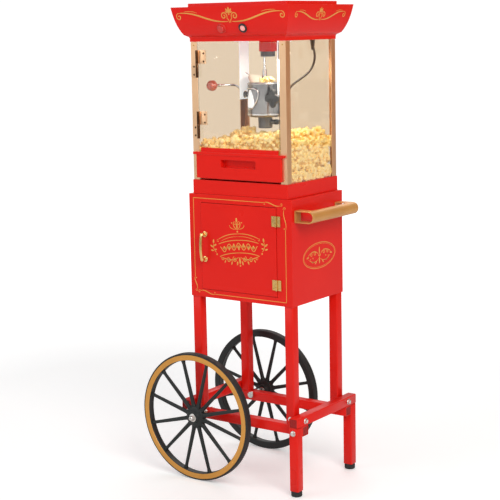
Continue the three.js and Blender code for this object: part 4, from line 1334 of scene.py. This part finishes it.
def makeKettle():
    x, y, r = kettle["x"], kettle["y"], kettle["radius"]
    bottom, top = kettle["bottom"], kettle["top"]
    softened("kettle_pot", "potSteel", 0.25)
    bead = [(r + 0.05, top - 2.6)]
    bead += [(r + 0.9 + 1.3 * math.sin(a), top - 1.6 - 1.3 * math.cos(a))
             for a in (math.pi * i / 10 for i in range(11))]
    bead += [(r + 0.05, top - 0.1), (r + 0.05, top - 2.6)]
    turned("kettle_rim_bead", bead, at(x, y, 0), upward, "polishedSteel", "kettle", sides=96)
    band = rounded([(r + 0.05, bottom + 5), (r + 0.9, bottom + 5.4), (r + 0.9, bottom + 8.6),
                    (r + 0.05, bottom + 9), (r + 0.05, bottom + 5)], 0.3)
    turned("kettle_foot_band", band, at(x, y, 0), upward, "polishedSteel", "kettle", sides=96)
    for node, material, bevel in (
            ("kettle_lid_left", "polishedSteel", 0.25), ("kettle_lid_right", "polishedSteel", 0.25),
            ("kettle_hanger_left", "white", 0.4), ("kettle_hanger_right", "white", 0.4),
            ("heater_housing", "grey", 0.7), ("drive_shaft", "steel", 0.4),
            ("drive_coupling", "polishedSteel", 0.4), ("stirrer", "steel", 0.3)):
        softened(node, material, bevel)
    for name, px, bore, outward in (("hanger_pivot_washer", -56, 3.4, leftward),
                                    ("hanger_pivot_washer_right", 62, 4.5, rightward)):
        washer = [(bore, 0), (8.2, 0), (8.2, 1.4), (bore, 1.4), (bore, 0)]
        turned(name, rounded(washer, 0.4), at(px, y, kettle["pivot"]), outward, "zinc", "cart")
    bm = bmesh.new()
    for px, outward in ((x - r - 3, leftward), (x + r + 4, rightward)):
        for dy in (-6, 6):
            for dz in (-6.5, 6.5):
                addScrew(bm, at(px, y + dy, kettle["pivot"] + dz), outward, 2.0, 0.9)
    for px in (-66, 70):
        for dy in (-13, 13):
            addScrew(bm, at(px, y + dy, 1122.8), downward, 2.4, 1.0)
    addPiece("kettle_rivets", bm, "zinc", "kettle")
    pivotNut = rounded([(3.2, 0), (9.5, 0), (9.5, 1.2), (7, 1.8), (3.2, 1.8), (3.2, 0)], 0.3)
    turned("tilt_pivot_washer", pivotNut, at(-53.8, y, kettle["pivot"]), rightward, "zinc", "kettle")
    bm = bmesh.new()
    addTurned(bm, [(3.1, 1.7), (7.2, 1.7), (7.2, 6), (6.2, 6.8), (3.1, 6.8), (3.1, 1.7)],
              at(-53.8, y, kettle["pivot"]), rightward, 6)
    addPiece("tilt_pivot_nut", bm, "grey", "kettle", angle=25)
    makeLatch()
    makeTiltHandle()
    makeLockKnob()
    makeLead()
    print("kettle made")


def makeLatch():
    # a bent wire latch clipped to the pot, with the flat keeper that it springs from
    x, y, r = kettle["x"], kettle["y"], kettle["radius"]

    def around(angle, z, out):
        a = math.radians(angle)
        return (x + (r + out) * math.cos(a), y + (r + out) * math.sin(a), z)

    wire = [around(-128, 1006, 0.5), around(-126, 1007, 2.2), around(-104, 1007, 2.6),
            around(-84, 1005, 3), around(-76, 996, 3.4), around(-79, 982, 3.2),
            around(-90, 966, 2.6), around(-101, 957, 2.2), around(-122, 956, 2.2),
            around(-124, 956, 0.5)]
    bm = bmesh.new()
    addSwept(bm, smoothPath(wire, 8), lambda t: 1.5, 12)
    addPiece("kettle_latch_wire", bm, "polishedSteel", "kettle", angle=60)
    bm = bmesh.new()
    rows = []
    for z, wide in ((959, 14), (962, 17), (975, 17), (988, 12), (1000, 5), (1003, 4)):
        rows.append([[bm.verts.new(at(*around(-110 + side * wide, z, out)))
                      for side in (-1, -0.5, 0, 0.5, 1)] for out in (0.2, 1.5)])
    for lower, upper in zip(rows, rows[1:]):
        for i in range(4):
            for k in (0, 1):
                bm.faces.new((lower[k][i], lower[k][i + 1], upper[k][i + 1], upper[k][i]))
        for i in (0, 4):
            bm.faces.new((lower[0][i], lower[1][i], upper[1][i], upper[0][i]))
    for row in (rows[0], rows[-1]):
        for i in range(4):
            bm.faces.new((row[0][i], row[0][i + 1], row[1][i + 1], row[1][i]))
    addPiece("kettle_latch_keeper", bm, "white", "kettle", angle=40)


tiltHandle = {"ball": (-99, -85, 1015), "ballRadius": 14.0, "rodRadius": 3.0, "seamRing": 15,
              "seamDepth": 0.12, "rings": 31}


def makeTiltHandle():
    x, y, pivot = kettle["x"], kettle["y"], kettle["pivot"]
    ball = Vector(tiltHandle["ball"])
    start = x - kettle["radius"] - 0.5
    path = smoothPath([(start, y, pivot), (-50, y, pivot), (-60, y, pivot), (-64, y - 3, pivot + 6),
                       (-66, y - 12, pivot + 19), (-70, y - 24, pivot + 24), (-80, -51, ball.z),
                       (ball.x + 2, ball.y + 4, ball.z)], 8)
    bm = bmesh.new()
    addSwept(bm, path, lambda t: tiltHandle["rodRadius"], 20)
    addTurned(bm, rounded([(3.0, 0), (4.4, 0.4), (4.4, 3.6), (3.0, 4), (3.0, 0)], 0.4),
              at(ball.x + 9.2, ball.y + 15.2, ball.z), Vector((0.5, 0.87, 0)), 28)
    addPiece("tilt_handle_bar", bm, "polishedSteel", "kettle", ["tilt_handle_rod"], 50)
    outward = Vector((-19, -34, 0)).normalized()
    r, rings = tiltHandle["ballRadius"], tiltHandle["rings"]
    profile = [(0, r)]
    for i in range(1, rings):
        a = math.pi * i / rings
        seam = tiltHandle["seamDepth"] if i == tiltHandle["seamRing"] else 0
        profile.append((r * math.sin(a) - seam, r * math.cos(a)))
        if profile[-1][1] < -12.6:
            break
    profile += [(4.6, -13.0), (3.6, -12.4), (3.4, -10), (0, -10)]
    turned("tilt_handle_knob", profile, at(*ball), outward, "amber", "kettle",
           ["tilt_handle_ball"], sides=64, angle=60)


lockKnob = {"place": (62, -50, 983), "valley": 14.2, "lobe": 22.6, "dome": 16.5, "lobes": 4,
            "sides": 96}


def makeLockKnob():
    # lobes round a domed middle, drawn in rings from the face to the back
    x, y, z = lockKnob["place"]
    valley, lobe, dome, sides = (lockKnob[k] for k in ("valley", "lobe", "dome", "sides"))
    bm = bmesh.new()
    # share of the reach, height, and how far the outline is lobed
    levels = [(0.0, 8.0, 0), (0.28, 7.9, 0), (0.42, 7.0, 0.25), (0.6, 5.9, 0.7), (0.86, 5.4, 1),
              (0.96, 4.6, 1), (1.0, 3.0, 1), (1.0, -3.2, 1), (0.96, -4.8, 1), (0.86, -5.4, 1),
              (0.0, -5.4, 0)]
    rings = []
    for share, height, lobed in levels:
        ring = []
        for i in range(sides if share else 1):
            a = 2 * math.pi * i / sides
            wave = (0.5 + 0.5 * math.cos(lockKnob["lobes"] * a)) ** 0.8
            reach = (valley + (lobe - valley) * wave) * lobed + dome * (1 - lobed)
            ring.append(bm.verts.new(at(x + share * reach * math.cos(a), y - height,
                                        z + share * reach * math.sin(a))))
        rings.append(ring)
    for a, b in zip(rings, rings[1:]):
        bridge(bm, a, b)
    addPiece("lock_knob_grip", bm, "black", "lock_knob", ["kettle_lock_knob"], 44)
    turned("lock_knob_screw", rounded([(0, 0), (2, 0), (2, 13), (1.2, 14), (0, 14)], 0.3),
           at(x, y + 4, z), rear, "zinc", "lock_knob", sides=24)


lead = {"radius": 2.75, "route": [
    (52.5, -6, 922), (58, -6, 922), (63, -5, 923.5), (66, -1, 929), (67, 5, 941),
    (66.5, 9, 960), (66.5, 10.5, 985), (69, 12, 1005), (83, 14, 1018.5), (101.5, 18, 1031),
    (115, 22, 1041.5), (125, 25, 1053), (131, 28, 1067.5), (132.8, 30, 1082),
    (131.8, 30, 1095.5), (128.5, 30, 1110), (127, 30, 1124.5)]}


def makeLead():
    # held at both ends, so it bends between the kettle and the ceiling
    bm = bmesh.new()
    addSwept(bm, smoothPath(lead["route"], 7), lambda t: lead["radius"], 14)
    piece = addPiece("kettle_lead_tube", bm, "lead", None, angle=60)
    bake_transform(piece)
    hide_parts("kettle_lead")
    boot = [(6.4, 0), (6.4, 3)]
    boot += [(5.4 - 2.0 * i / 6 + (0.5 if i % 2 else 0), 4 + 3.2 * i) for i in range(7)]
    turned("lead_ceiling_boot", rounded(boot + [(2.9, 25), (2.9, 0), (6.4, 0)], 0.3),
           at(127, 30, 1124.6), downward, "black", "cart")
    turned("lead_plug", rounded([(0, 0), (6.2, 0), (6.8, 2), (6.8, 9), (5.4, 11), (4.8, 16),
                                 (3.6, 20), (2.8, 22), (0, 22)], 0.8), at(36, -6, 922), rightward,
           "black", "kettle")


makeCamera()
makeGroups()
makeLights()
makeFloor()
makeCard()
materials = makeMaterials()
print("materials made")
makeStand()
for end, sign in (("front", -1), ("rear", 1)):
    makeWheel(end, sign)
    makeAxle(end, sign)
print("wheels made")
makeCabinet()
makeChamber()
makePopcorn()
makeCanopy()
makeKettle()
